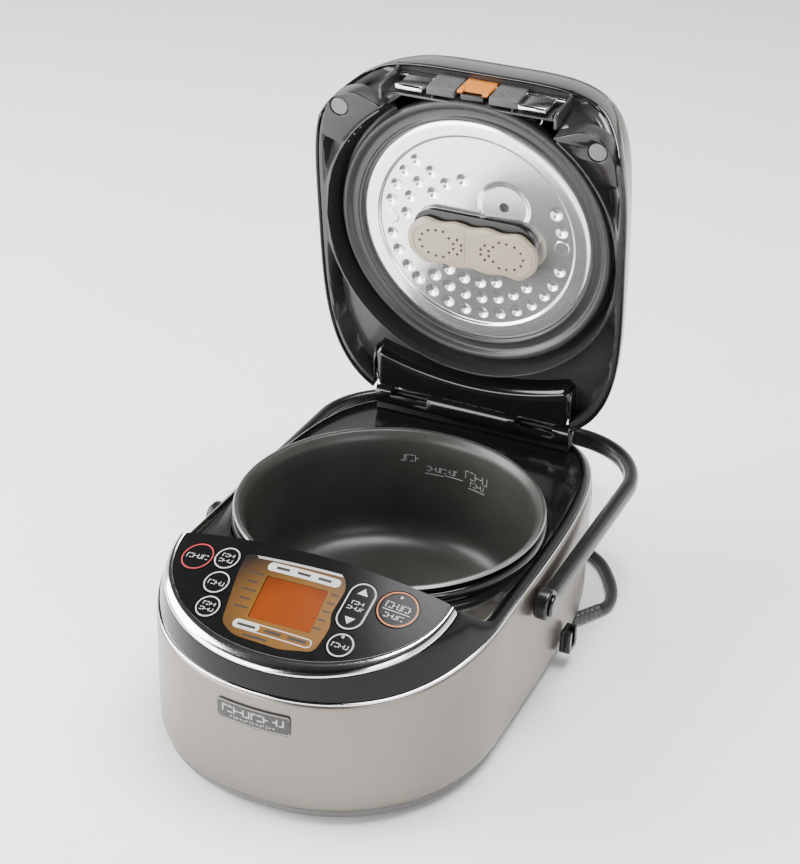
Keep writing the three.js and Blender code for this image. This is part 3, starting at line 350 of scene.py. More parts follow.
def pressed_plate(name, outline, low, high, body, look, holes=(), edge=0.4, warp=None, replaces=()):
    """A flat piece with rounded edges and real holes: outline and holes are lists of (u, v).

    warp carries (u, v, height) to millimetres in the closed frame.
    """
    curve = bpy.data.curves.new(name, "CURVE")
    curve.dimensions = "2D"
    curve.fill_mode = "BOTH"
    edge = min(edge, (high - low) * 0.45)
    curve.extrude = (high - low) / 2 - edge
    curve.bevel_depth = edge
    curve.bevel_resolution = 2
    curve.offset = -edge
    for loop in (outline, *holes):
        spline = curve.splines.new("POLY")
        spline.points.add(len(loop) - 1)
        for place, (u, v) in zip(spline.points, loop):
            place.co = (u, v, 0, 1)
        spline.use_cyclic_u = True
    maker = bpy.data.objects.new(name + " maker", curve)
    bpy.context.scene.collection.objects.link(maker)
    bpy.context.view_layer.update()
    mesh = bpy.data.meshes.new_from_object(maker.evaluated_get(bpy.context.evaluated_depsgraph_get()))
    bpy.data.objects.remove(maker)
    bpy.data.curves.remove(curve)
    middle = (low + high) / 2
    points = [(v.co.x, v.co.y, v.co.z + middle) for v in mesh.vertices]
    faces = [tuple(p.vertices) for p in mesh.polygons]
    bpy.data.meshes.remove(mesh)
    if warp:
        points = [warp(*p) for p in points]
    return object_from(name, points, faces, body, look, replaces)


def along_x(x, y, z):
    """Stands a (y, z) side view up as a piece that runs along X."""
    return (z, x, y)


def swept(name, path, section, body, look, replaces=(), closed=False, degrees=40):
    """A section of (across, up) carried along a path of points in millimetres, level in Z."""
    rings = []
    for i, p in enumerate(path):
        before = path[i - 1] if closed or i else path[0]
        after = path[(i + 1) % len(path)] if closed or i < len(path) - 1 else path[-1]
        along = (Vector(after) - Vector(before)).normalized()
        across = Vector((along.y, -along.x, 0)).normalized()
        up = across.cross(along)
        rings.append([tuple(Vector(p) + across * u - up * v) for u, v in section])
    return skinned(name, rings, body, look, replaces, degrees, closed)


def round_section(radius, sides=20):
    return circle(0, 0, radius, sides)


def spline_points(controls, spacing=3.0):
    """A smooth line through control points, at an even spacing."""
    padded = [controls[0], *controls, controls[-1]]
    out = []
    for i in range(len(controls) - 1):
        a, b, c, d = (Vector(padded[i + k]) for k in range(4))
        steps = max(2, round((c - b).length / spacing))
        for k in range(steps):
            t = k / steps
            bend, twist = 2 * a - 5 * b + 4 * c - d, 3 * b - a - 3 * c + d
            out.append(0.5 * (2 * b + (c - a) * t + bend * t * t + twist * t**3))
    out.append(Vector(controls[-1]))
    return out


# ---------------------------------------------------------------- mains cord, coiled on the floor behind
CORD_DIAMETER = 8.5
CORD_LOW = CORD_DIAMETER / 2 + 0.3
COIL_X, COIL_Y = 12, 245
COIL_OUTER, COIL_INNER = 51.25, 42.75  # radius of the two columns of turns
GLAND, GLAND_LENGTH = Vector((112, 92, 5.4)), 24
GLAND_WAY = Vector((0.5, 0.86, 0)).normalized()
LEAD = [
    (124.5, 113.5, 5.2), (127, 118.6, 4.8), (128.2, 127, CORD_LOW), (126.4, 138, CORD_LOW),
    (121.6, 150, CORD_LOW), (114.6, 162, CORD_LOW), (106, 174, CORD_LOW), (96.3, 182.4, CORD_LOW),
    (85, 188.6, CORD_LOW), (72.7, 192.5, CORD_LOW), (58, 193.75, CORD_LOW),
    (42.2, 193.75, CORD_LOW), (27, 193.75, CORD_LOW),
]
TAIL = [
    (8, 190.9, 12.9), (-8, 187, 9.6), (-22, 187.3, 5.4), (-36, 193.3, 5.2), (-46, 203.2, 7.9),
    (-52.4, 213.3, 10.4),
]
# How far the coil has turned, in degrees, then its radius and its height above the lowest turn.
COIL_STAGES = [
    (90, COIL_OUTER, 0), (355, COIL_OUTER, 0), (450, COIL_INNER, 0), (640, COIL_INNER, 0),
    (715, COIL_INNER, CORD_DIAMETER), (925, COIL_INNER, CORD_DIAMETER),
    (1020, COIL_OUTER, CORD_DIAMETER), (1155, COIL_OUTER, CORD_DIAMETER),
]


def coil_point(turned_by):
    for before, after in zip(COIL_STAGES, COIL_STAGES[1:]):
        if turned_by <= after[0]:
            t = smooth((turned_by - before[0]) / (after[0] - before[0]))
            radius, rise = mix(before[1], after[1], t), mix(before[2], after[2], t)
            break
    angle = -math.radians(turned_by)
    return *polar(radius, angle, COIL_X, COIL_Y), CORD_LOW + rise


def make_cord():
    start = GLAND + GLAND_WAY * GLAND_LENGTH
    first, last = COIL_STAGES[0][0], COIL_STAGES[-1][0]
    steps = 96
    coil = [coil_point(mix(first, last, k / steps)) for k in range(steps + 1)]
    route = [TO_ROW @ p for p in spline_points([tuple(start), *LEAD, *coil, *TAIL], 1.5)]
    curve = bpy.data.curves.new("mains_cord", "CURVE")
    curve.dimensions = "3D"
    curve.bevel_depth = CORD_DIAMETER / 2 * MM
    curve.bevel_resolution = 5
    curve.use_fill_caps = True
    spline = curve.splines.new("POLY")
    spline.points.add(len(route) - 1)
    for place, p in zip(spline.points, route):
        place.co = (*p, 1)
    obj = bpy.data.objects.new("mains_cord", curve)
    bpy.context.scene.collection.objects.link(obj)
    finish_piece(obj, "body", "cord_rubber", ["cord_lead", "cord_coil", "cord_tail"])
    relief = make_strain_relief()
    plug = make_plug()


def make_strain_relief():
    """A ribbed sleeve that tapers along the way out of the body."""
    side = Vector((GLAND_WAY.y, -GLAND_WAY.x, 0))
    rings = []
    ribs = 6
    for k in range(ribs * 8 + 1):
        t = k / (ribs * 8)
        groove = 0.3 * (1 + math.cos(2 * math.pi * t * ribs)) / 2 if 0.12 < t < 0.97 else 0
        section = round_section(mix(4.9, 4.55, t) - groove, 32)
        middle = GLAND + GLAND_WAY * mix(-3.5, GLAND_LENGTH, t)
        rings.append([tuple(middle + side * u + Vector((0, 0, v))) for u, v in section])
    return skinned("strain relief", rings, "body", "rubber", ["cord_strain_relief"], 60)


PLUG_X, PLUG_Y, PLUG_Z, PLUG_TURN = -66, 232, 10.5, 2.2


def make_plug():
    """A moulded two-pin plug: a ribbed neck, a waisted grip and flat blades with a hole near their tips."""
    stages = [
        (-22, 4.5, 4.5, 1), (-20.5, 5.0, 5.0, 1), (-18, 5.5, 5.5, 0.9), (-4, 7, 6.5, 0.75),
        (0, 11, 8.2, 0.62), (3, 13.1, 9.1, 0.55), (12, 13.5, 9.5, 0.55), (14.2, 13.2, 9.2, 0.55),
        (15, 12.2, 8.4, 0.55),
    ]
    place = Matrix.Translation((PLUG_X, PLUG_Y, PLUG_Z)) @ Matrix.Rotation(PLUG_TURN, 4, "Z")

    def on_plug(x, y, z):
        return tuple(place @ Vector((x, y, z)))

    rings = []
    for (x0, w0, t0, e0), (x1, w1, t1, e1) in zip(stages, stages[1:]):
        steps = max(2, round((x1 - x0) * 1.5))
        for k in range(steps):
            t = k / steps
            x = mix(x0, x1, t)
            groove = 0.35 * (0.5 + 0.5 * math.cos(2 * math.pi * x / 2.6)) if -17 < x < -5 else 0
            w, h, e = mix(w0, w1, t) - groove, mix(t0, t1, t) - groove, mix(e0, e1, t)
            section = [(w * power(u, e), h * power(v, e)) for u, v in circle(0, 0, 1, 40)]
            rings.append([on_plug(x, across, up) for across, up in section])
    body = skinned("plug body", rings, "body", "rubber", ["mains_plug"])
    for side, y in (("left", -6.35), ("right", 6.35)):
        low, high = y - 3.1, y + 3.1
        blade = [(14, low), (31.2, low), (32, low + 0.9), (32, high - 0.9), (31.2, high), (14, high)]
        hole = circle(27.5, y, 1.5, 20)
        pressed_plate(f"plug blade {side}", blade, -0.8, 0.8, "body", "brass", [hole], 0.15, on_plug)
    return body


make_cord()


# ---------------------------------------------------------------- outlines of the body
BODY = {
    "half_width": 120, "front": -203, "rear": 177.4, "widest": -77.2, "front_power": 2.17, "rear_power": 4.27
}
CASING_TOP, CASING_DIP = 108, 14
CASING_BOTTOM = 10.4
SHOULDER_INSET = 2.2
DECK_Z = 113.5
SEAT_RADIUS = 111.4
TIP_X, TIP_Y, TIP_Z = 102, -116, 137.9
CONSOLE_DEPTH, CONSOLE_POWER = 84.5, 2.1
CONSOLE_SLOPE, CONSOLE_CROWN, CONSOLE_NOSE = 0.26, 8.3, -200
EDGE_DROP = 4.2  # from the console's plane down to the shoulder's edge
PANEL_X, PANEL_DEPTH, PANEL_REAR = 96.5, 75, -113


def body_outline(inset, count=AROUND):
    half_width = BODY["half_width"] - inset
    out = []
    for i in range(count):
        angle = 2 * math.pi * i / count
        c, s = math.cos(angle), math.sin(angle)
        exponent = 2 / (BODY["front_power"] if s < 0 else BODY["rear_power"])
        depth = BODY["widest"] - BODY["front"] if s < 0 else BODY["rear"] - BODY["widest"]
        out.append((half_width * power(c, exponent), BODY["widest"] + (depth - inset) * power(s, exponent)))
    return out


def casing_top(y):
    return CASING_TOP - CASING_DIP * smooth((-70 - y) / 140)


def console_z(x, y):
    """The face's height: a sloping plane with a crown that fades towards the nose."""
    plane = TIP_Z + CONSOLE_SLOPE * (y - TIP_Y)
    fade = clamp((y - CONSOLE_NOSE) / (PANEL_REAR - CONSOLE_NOSE))
    return plane + CONSOLE_CROWN * max(0, 1 - (x / TIP_X) ** 2) * fade


def on_console_oval(x, y, half_width, depth):
    dx, dy = x, y - TIP_Y
    reach = abs(dx / half_width) ** CONSOLE_POWER + abs(dy / depth) ** CONSOLE_POWER
    scale = reach ** (-1 / CONSOLE_POWER)
    return dx * scale, TIP_Y + dy * scale


def shoulder_edge(x, y, inset):
    """The inner edge of the shoulder: it follows the console in front and the casing elsewhere."""
    if y <= TIP_Y:
        px, py = on_console_oval(x, y, TIP_X - inset, CONSOLE_DEPTH - inset)
        return px, py, console_z(px, py) - EDGE_DROP
    along = smooth((y - TIP_Y) / 30)
    side = abs(x) * (1 - 3 / BODY["half_width"]) - inset
    px = math.copysign(mix(min(TIP_X - inset, abs(side)), abs(side), along), x)
    py = y * (1 - 4 / BODY["rear"]) - inset * smooth((y - 90) / 60) if y > 0 else y
    return px, py, mix(TIP_Z - EDGE_DROP, DECK_Z + 0.6, along)


def panel_rear(x):
    return PANEL_REAR + (TIP_Y - PANEL_REAR) * (x / TIP_X) ** 2


# ---------------------------------------------------------------- casing, base, shoulder and deck
def make_casing():
    levels = [
        (3.2, CASING_BOTTOM, 0), (2.2, CASING_BOTTOM, 0), (1.5, 10.9, 0), (0.7, 12.6, 0),
        (0.2, 15.5, 0), (0, 20, 0), (0, 24, 0), (0.05, 0, 28), (0.25, 0, 4), (0.5, 0, 1.6),
        (0.95, 0, 0.5), (1.5, 0, 0.2), (2.2, 0, 0.6), (2.3, 0, 8), (2.3, 24, 0),
    ]
    rings = []
    for inset, height, drop in levels:
        rings.append([(x, y, height or casing_top(y) - drop) for x, y in body_outline(inset)])
    skinned("casing", rings, "body", "champagne", ["outer_casing"], closed=True)
    rim = rounded_profile([(0.7, 0.35, 0.3), (0.9, 1.75, 0.6), (2.7, 1.95, 0.4), (2.7, 0.35, 0.2)], 3)
    rings = [[(x, y, casing_top(y) + rise) for x, y in body_outline(inset)] for inset, rise in rim]
    skinned("casing lip", rings, "body", "chrome", ["casing_top_trim"], 60, closed=True)


def make_base():
    levels = [
        (7.5, 3.35), (5.2, 3.6), (3.4, 4.8), (2.6, 6.8), (2.4, 9.4), (2.7, 10.0), (4.5, 10.0),
        (4.5, 18), (6.5, 18), (8, 6.2),
    ]
    rings = [[(x, y, height) for x, y in body_outline(inset)] for inset, height in levels]
    tray = skinned("base tray", rings, "body", "base_grey", ["base_tray"], 40)
    cut_by(tray, [block_points((x - 3, x + 3), (-180, -128), (0, 9)) for x in (-24, -12, 0, 12, 24)])


def block_points(xs, ys, zs):
    points = [(x, y, z) for z in zs for y in ys for x in xs]
    faces = [(0, 2, 3, 1), (4, 5, 7, 6), (0, 1, 5, 4), (2, 6, 7, 3), (0, 4, 6, 2), (1, 3, 7, 5)]
    return points, faces


def cut_by(obj, cutters, on_lid=False):
    """Cuts closed shapes out of a piece."""
    place = TO_ROW @ OPENING if on_lid else TO_ROW
    points, faces = [], []
    for more, corners in cutters:
        base = len(points)
        points += more
        faces += [tuple(base + c for c in face) for face in corners]
    mesh = bpy.data.meshes.new("cutter")
    mesh.from_pydata([place @ Vector(p) for p in points], [], faces)
    tool = bpy.data.objects.new("cutter", mesh)
    bpy.context.scene.collection.objects.link(tool)
    change = obj.modifiers.new("cut", "BOOLEAN")
    change.object, change.operation, change.solver = tool, "DIFFERENCE", "EXACT"
    bpy.context.view_layer.update()
    cut = bpy.data.meshes.new_from_object(obj.evaluated_get(bpy.context.evaluated_depsgraph_get()))
    obj.modifiers.clear()
    shade(cut, 50)
    obj.data = cut
    bpy.data.objects.remove(tool)
    return obj


def make_shoulder():
    foot = body_outline(SHOULDER_INSET)
    rings = []
    curve_steps = 12
    for k in range(curve_steps + 1):
        t = k / curve_steps
        across = 0.8 * t * (1 - t) + t * t
        upward = 1.4 * t * (1 - t) + t * t
        ring = []
        for x, y in foot:
            ex, ey, ez = shoulder_edge(x, y, 0)
            ring.append((mix(x, ex, across), mix(y, ey, across), mix(casing_top(y) + 2.3, ez, upward)))
        rings.append(ring)
    top_lip = []
    for x, y in foot:
        ex, ey, ez = shoulder_edge(x, y, 0.9)
        top_lip.append((ex, ey, ez + 0.25))
    inner_lip = []
    under = []
    for x, y in foot:
        ex, ey, ez = shoulder_edge(x, y, 2.2)
        inner_lip.append((ex, ey, ez - 0.8))
        under.append((ex, ey, casing_top(y) + 3.2))
    rings += [top_lip, inner_lip, under]
    # The shoulder takes the darker copy of the gloss black: painted shade.
    skinned("shoulder", rings, "body", "shoulder_black", ["shoulder_frame"], closed=True)


def make_deck():
    """The gloss deck round the pot, with a shallow gutter inside its rim and a soft edge at the seat."""
    outer = [shoulder_edge(x, y, 2.7)[:2] for x, y in body_outline(SHOULDER_INSET)]
    front = panel_rear(0) + 1.8
    rows = [(0, 0), (0.06, -0.7), (0.16, -0.9), (0.5, -0.2), (0.84, 0), (0.97, -0.1), (1, -0.9)]
    top = []
    for across, dip in rows:
        ring = []
        for x, y in outer:
            ix, iy = polar(SEAT_RADIUS + 0.4, math.atan2(y, x))
            ring.append((mix(x, ix, across), max(front, mix(y, iy, across)), DECK_Z + dip))
        top.append(ring)
    low = [[(x, y, DECK_Z - 3) for x, y, _ in ring] for ring in (top[-1], top[0])]
    skinned("deck", top + low, "body", "gloss_black", ["top_deck"], 40, closed=True)


make_casing()
make_base()
make_shoulder()
make_deck()

FOOT_PROFILE = [(0, 0, 0), (9, 0, 0.8), (9, 3, 0.3), (0, 3, 0)]
FOOT_PLACES = {
    "front_left": (-72, -140), "front_right": (72, -140), "rear_left": (-82, 135), "rear_right": (82, 135)
}
for where, spot in FOOT_PLACES.items():
    turned_piece(
        f"foot {where}", FOOT_PROFILE, "body", "rubber", [f"foot_{where}"], 48, degrees=32, place=spot
    )


# ---------------------------------------------------------------- console
GLOW_SQUASH, GLOW_CORE = 0.8, 0.55  # depth of the glow to its width, and where it is at full strength


def make_graded(name, inner, outer, roughness, centre, reach):
    """A colour that fades outwards from a centre: painted glow, standing in for a display lit from behind
    dark glass.
    """
    material = make_material(name, inner, roughness, 0, 0.02, 300, 0.01, coat=0.3)
    nodes, links = material.node_tree.nodes, material.node_tree.links
    shader = nodes["Principled BSDF"]
    place = nodes.new("ShaderNodeTexCoord")
    move = nodes.new("ShaderNodeMapping")
    move.vector_type = "POINT"
    cx, cy = centre[0] * MM, (centre[1] + SHIFT_Y) * MM
    scale = 1 / (reach * MM)
    move.inputs["Location"].default_value = (-cx * scale, -cy * scale / GLOW_SQUASH, 0)
    move.inputs["Scale"].default_value = (scale, scale / GLOW_SQUASH, 0)
    links.new(place.outputs["Object"], move.inputs["Vector"])
    ball = nodes.new("ShaderNodeTexGradient")
    ball.gradient_type = "SPHERICAL"
    links.new(move.outputs["Vector"], ball.inputs["Vector"])
    ramp = nodes.new("ShaderNodeValToRGB")
    ramp.color_ramp.elements[0].position = 0.0
    ramp.color_ramp.elements[0].color = (*outer, 1)
    ramp.color_ramp.elements[1].position = GLOW_CORE
    ramp.color_ramp.elements[1].color = (*inner, 1)
    links.new(ball.outputs["Fac"], ramp.inputs["Fac"])
    links.new(ramp.outputs["Color"], shader.inputs["Base Color"])
    return material


# Painted glow: the amber face is brightest at a centre and fades outwards, as if lit from behind.
MATERIAL["amber"] = make_graded(
    "amber painted glow", (0.115, 0.048, 0.003), (0.005, 0.003, 0.002), 0.3, (6, -160), 62
)
# The window's own orange, with painted glow on top: brightest at a centre, fading outwards.
MATERIAL["orange_glass"] = make_graded(
    "display window", (0.15, 0.027, 0.001), (0.045, 0.009, 0.001), 0.22, (4, -162), 50
)

KEY_CLEARANCE, KEY_DEPTH = 0.4, 6  # gap round a key, and how far its cap reaches down
KEYS = {
    "key_cancel": (-77.5, -134.5, 24, 24, "print_red"),
    "key_rinse_free": (-56.8, -131.5, 19.4, 19.4, "print_white"),
    "key_menu": (-53.9, -151.2, 19.4, 19.4, "print_white"),
    "key_keep_warm": (-49.8, -170.2, 18.4, 18.4, "print_white"),
    "key_time_rocker": (42.1, -141.1, 20.4, 38, "print_white"),
    "key_timer": (45.5, -170.9, 19.4, 19.4, "print_white"),
    "key_start": (67.6, -133.6, 29, 29, "print_orange"),
}
DISPLAY = [
    (-46.5, -124), (24.5, -121.5), (30.5, -131), (29.5, -152), (33, -158.5), (33.5, -166), (32, -181),
    (10, -186), (-24, -185), (-36, -178), (-38.5, -166), (-41.8, -152), (-44.6, -139),
]
LCD = [(-24, -137), (20, -136.4), (23, -169), (-21, -170)]


def on_key(x, y, z):
    """Wraps a flat mark onto a key: its height is measured up from the key's face."""
    return x, y, console_z(x, y) + z + KEY_TOP


def shrink(outline, distance):
    """Moves each edge of an outline inwards."""
    area = sum(a[0] * b[1] - b[0] * a[1] for a, b in zip(outline, outline[1:] + outline[:1]))
    side = math.copysign(distance, area)
    out = []
    for i, here in enumerate(outline):
        before, after = outline[i - 1], outline[(i + 1) % len(outline)]
        along = Vector((after[0] - before[0], after[1] - before[1])).normalized()
        out.append((here[0] - along.y * side, here[1] + along.x * side))
    return out


def rounded_outline(corners, radius, steps=6):
    return rounded_profile([(x, y, radius) for x, y in corners], steps)


def dense(outline, spacing=4.0):
    """Adds points along the straight stretches, so that a bent piece stays smooth."""
    out = []
    for a, b in zip(outline, outline[1:] + outline[:1]):
        steps = max(1, math.ceil(math.dist(a, b) / spacing))
        out += [(mix(a[0], b[0], k / steps), mix(a[1], b[1], k / steps)) for k in range(steps)]
    return out


def inside(outline, x, y):
    odd = False
    for (ax, ay), (bx, by) in zip(outline, outline[1:] + outline[:1]):
        if (ay > y) != (by > y) and x < (bx - ax) * (y - ay) / (by - ay) + ax:
            odd = not odd
    return odd


def wrapped(name, outline, top, bottom, look, body="body", replaces=(), holes=(), rise=None, spacing=2.5):
    """A slab that follows the console's face: a fine inner mesh, true side walls and smooth top shading.

    top and bottom are heights from the face, and rise(x, y) adds to the top.
    """
    outline = dense(outline, spacing)
    holes = [dense(hole, spacing) for hole in holes]

    def is_solid(x, y):
        return inside(outline, x, y) and not any(inside(hole, x, y) for hole in holes)

    xs, ys = [p[0] for p in outline], [p[1] for p in outline]
    points = list(outline)
    edges = [(i, (i + 1) % len(outline)) for i in range(len(outline))]
    for hole in holes:
        base = len(points)
        points += hole
        edges += [(base + i, base + (i + 1) % len(hole)) for i in range(len(hole))]
    y, row = min(ys) + spacing, 0
    while y < max(ys):
        x = min(xs) + spacing * (0.5 if row % 2 else 1)
        while x < max(xs):
            near = min((x - p[0]) ** 2 + (y - p[1]) ** 2 for p in points[: len(edges)])
            if near > (0.55 * spacing) ** 2 and is_solid(x, y):
                points.append((x, y))
            x += spacing
        y += spacing * 0.87
        row += 1
    flat, _, faces, *_ = delaunay_2d_cdt([Vector(p) for p in points], edges, [], 0, 1e-6)
    kept = []
    for face in faces:
        cx = sum(flat[i].x for i in face) / len(face)
        cy = sum(flat[i].y for i in face) / len(face)
        if is_solid(cx, cy):
            kept.append(tuple(face))
    solid = [(p.x, p.y, console_z(p.x, p.y) + top + (rise(p.x, p.y) if rise else 0)) for p in flat]
    under = [(p.x, p.y, console_z(p.x, p.y) + bottom) for p in flat]
    count = len(flat)
    sides = {}
    for face in kept:
        for a, b in zip(face, face[1:] + face[:1]):
            if (b, a) in sides:
                del sides[(b, a)]
            else:
                sides[(a, b)] = True
    walls = [(b, a, a + count, b + count) for a, b in sides]
    all_faces = kept + [tuple(i + count for i in face[::-1]) for face in kept] + walls
    return object_from(name, solid + under, all_faces, body, look, replaces, 35)


def panel_outline():
    out = []
    for i in range(97):
        angle = math.pi + math.pi * i / 96
        x = PANEL_X * power(math.cos(angle), 2 / CONSOLE_POWER)
        out.append((x, TIP_Y - PANEL_DEPTH * abs(math.sin(angle)) ** (2 / CONSOLE_POWER)))
    for i in range(47):
        x = PANEL_X * (1 - (i + 1) / 24)
        out.append((x, panel_rear(x)))
    return out


def key_outline(x, y, width, height, margin):
    return stadium(x, y, width + 2 * margin, height + 2 * margin, width / 2 + margin, 16)


def make_console():
    holes = [key_outline(*spec[:4], 0) for spec in KEYS.values()]
    display = rounded_outline(DISPLAY, 5)
    holes.append(display)
    wrapped(
        "console lens", panel_outline(), 0, -3, "console_black", replaces=["control_panel"], holes=holes
    )
    skirt = []
    for i in range(65):
        x = mix(-94, 94, i / 64)
        y = panel_rear(x)
        z = console_z(x, y) - 1.4
        skirt.append([(x, y, 114.6), (x, y, z), (x, y - 2, z), (x, y - 2, 114.6)])
    skinned("console rear wall", skirt, "body", "gloss_black")
    lcd = rounded_outline(LCD, 1.5)
    face, window = shrink(display, 0.3), shrink(lcd, 0.3)
    # The amber face and the window carry painted glow, brightest at a centre, rather than light of their own.
    wrapped("display face painted glow", face, -0.02, -2.6, "amber", replaces=["display_lens"], holes=[lcd])
    wrapped("display window", window, -0.4, -2.6, "orange_glass", replaces=["lcd_window"])


def make_trim():
    path_steps = 128
    section = rounded_profile(
        [(0, -3, 0.2), (0, 0.3, 0.3), (0.4, 0.95, 1.2), (0.82, -0.5, 2.0), (1, -2.4, 1.0), (1, -3.8, 0.2)], 5
    )
    rings = []
    for i in range(path_steps + 1):
        angle = math.pi + 0.02 + (math.pi - 0.04) * i / path_steps
        x, y = polar(1, angle, 0, TIP_Y)
        inner = on_console_oval(x, y, PANEL_X + 0.35, PANEL_DEPTH + 0.35)
        outer = on_console_oval(x, y, TIP_X - 0.2, CONSOLE_DEPTH - 0.2)
        ring = []
        for across, rise in section:
            px, py = mix(inner[0], outer[0], across), mix(inner[1], outer[1], across)
            ring.append((px, py, console_z(px, py) + rise))
        rings.append(ring)
    skinned("console trim", rings, "body", "chrome", ["panel_trim"], 60)


make_console()
make_trim()

PRINT_LIFT = 0.05


def printed(name, outline, look, body="body", holes=(), lift=0.0, spacing=3.0):
    return wrapped(name, outline, lift + PRINT_LIFT, lift - 0.15, look, body, holes=holes, spacing=spacing)


def bar_outline(x, y, width, height):
    left, right, low, high = x - width / 2, x + width / 2, y - height / 2, y + height / 2
    return [(left, low), (right, low), (right, high), (left, high)]


KEY_TOP = 0.3


def join_plates(name, outlines, low, high, body, look, warp):
    """Many small flat marks as one piece."""
    points, faces = [], []
    for outline in outlines:
        base, count = len(points), len(outline)
        points += [warp(u, v, low) for u, v in outline] + [warp(u, v, high) for u, v in outline]
        faces.append(tuple(range(base, base + count))[::-1])
        faces.append(tuple(range(base + count, base + 2 * count)))
        for i in range(count):
            j = (i + 1) % count
            faces.append((base + i, base + j, base + count + j, base + count + i))
    return object_from(name, points, faces, body, look)


def make_keys():
    for name, (x, y, width, height, ring) in KEYS.items():
        cap = key_outline(x, y, width, height, -KEY_CLEARANCE)

        def crown(px, py, x=x, y=y, width=width, height=height):
            along = max(0, (abs(py - y) - (height - width) / 2) * 2 / width)
            reach = (2 * (px - x) / width) ** 2 + along**2
            return -0.25 * smooth((reach - 0.8) / 0.2)

        title = name.replace("_", " ")
        wrapped(title, cap, KEY_TOP, -KEY_DEPTH, "console_black", name, [name], rise=crown, spacing=1.6)
        band = key_outline(x, y, width, height, -1.1)
        gap = key_outline(x, y, width, height, -1.95)
        printed(f"{name} ring", band, ring, name, [gap], KEY_TOP, 1.5)
        if name == "key_time_rocker":
            for sign in (-1, 1):
                tip = y + sign * 14
                triangle = [(x - 3.6, tip - sign * 5), (x + 3.6, tip - sign * 5), (x, tip)]
                printed(f"{name} arrow {sign}", triangle, "print_white", name, (), KEY_TOP, 1.5)
            words = [(x, y + 2.4, 9), (x, y - 1.8, 12)]
        elif name == "key_start":
            words = [(x, y + 1.6, 18, 4.6), (x, y - 6.2, 14, 3.4)]
            printed(f"{name} rule", bar_outline(x, y - 2.3, 19, 0.45), "print_white", name, (), KEY_TOP)
        elif name == "key_cancel":
            words = [(x, y, 16.5, 3.6)]
        elif name in ("key_menu", "key_timer"):
            words = [(x, y - 0.6, 12, 3.2)]
        else:
            words = [(x, y + 2.2, 9.5), (x, y - 2.2, 10.5)]
        strokes = []
        for n, (wx, wy, length, *size) in enumerate(words):
            tall = size[0] if size else 2.6
            count = max(3, round(length / 2.4))
            for k in range(count):
                place = wx + length * ((k + 0.5) / count - 0.5)
                strokes += glyph(place, wy, length / count * 0.7, tall, k + n)
        join_plates(f"{name} marks", strokes, -0.15, PRINT_LIFT, name, "print_white", on_key)
        if name in ("key_start", "key_timer"):
            lamp = circle(x - 1, y + (9 if name == "key_start" else 6), 1.0, 16)
            printed(f"{name} lamp", lamp, "print_grey", name, (), KEY_TOP + 0.2, 1.5)


def glyph(x, y, width, tall, kind, thick=0.5):
    """A made-up character of one to three strokes: it spells nothing."""
    thick = min(thick, width * 0.34)
    left = bar_outline(x - width / 2 + thick / 2, y, thick, tall)
    right = bar_outline(x + width / 2 - thick / 2, y, thick, tall)
    low = bar_outline(x, y - tall / 2 + thick / 2, width, thick)
    high = bar_outline(x, y + tall / 2 - thick / 2, width, thick)
    middle = bar_outline(x, y, width, thick)
    return [[left, high], [high, low], [left, middle], [middle, right], [right, low]][kind % 5]


make_keys()


def pill(x, y, width, height, lean):
    out = stadium(0, 0, width, height, height / 2 - 0.05, 8)
    return [(x + u, y + v + lean * u) for u, v in out]


def make_display_marks():
    printed("mode pill", pill(-1, -129.6, 52, 6.4, 0.01), "print_white", spacing=4)
    for n, x in enumerate((-16, -1, 14)):
        printed(f"mode mark {n}", bar_outline(x, -129.6 + 0.01 * x, 9.5, 2), "print_dark", lift=0.06)
    outer = pill(0, -176.2, 56, 6.6, -0.01)
    printed("keep warm frame", outer, "print_white", holes=[pill(0, -176.2, 54.4, 5.2, -0.01)])
    printed("keep warm pill", pill(-18.5, -176, 18.5, 5.0, -0.01), "print_white", spacing=4)
    for n, (x, length) in enumerate(((-18.5, 13), (0.5, 11.5), (17.5, 13))):
        printed(f"keep warm mark {n}", bar_outline(x, -176.2, length, 1.9), "print_dark", lift=0.06)
    for n in range(5):
        y, length = -137.5 - n * 6.6, 10 - (n % 2) * 2.4
        printed(f"menu mark left {n}", bar_outline(-31.5 + 0.6 * n, y, length, 1.2), "print_dark")
        printed(f"menu mark right {n}", bar_outline(25.6, y - 0.5, 5.6, 1.2), "print_dark")
    printed("model mark", bar_outline(-9, -182.6, 17, 1.6), "print_dark")
    # A painted highlight: a light silver strip along the display's upper edge.
    glow = [(-38, -124.2), (22.5, -122.1), (24, -123.6), (-36, -126)]
    printed("display highlight", glow, "silver_print")


make_display_marks()


# ---------------------------------------------------------------- badge
def front_y(x):
    reach = (1 - (abs(x) / BODY["half_width"]) ** BODY["front_power"]) ** (1 / BODY["front_power"])
    return BODY["widest"] - (BODY["widest"] - BODY["front"]) * reach


def on_front(x, z, depth):
    """Wraps a flat (x, z, depth) piece onto the casing's front."""
    return x, front_y(x) - depth, z


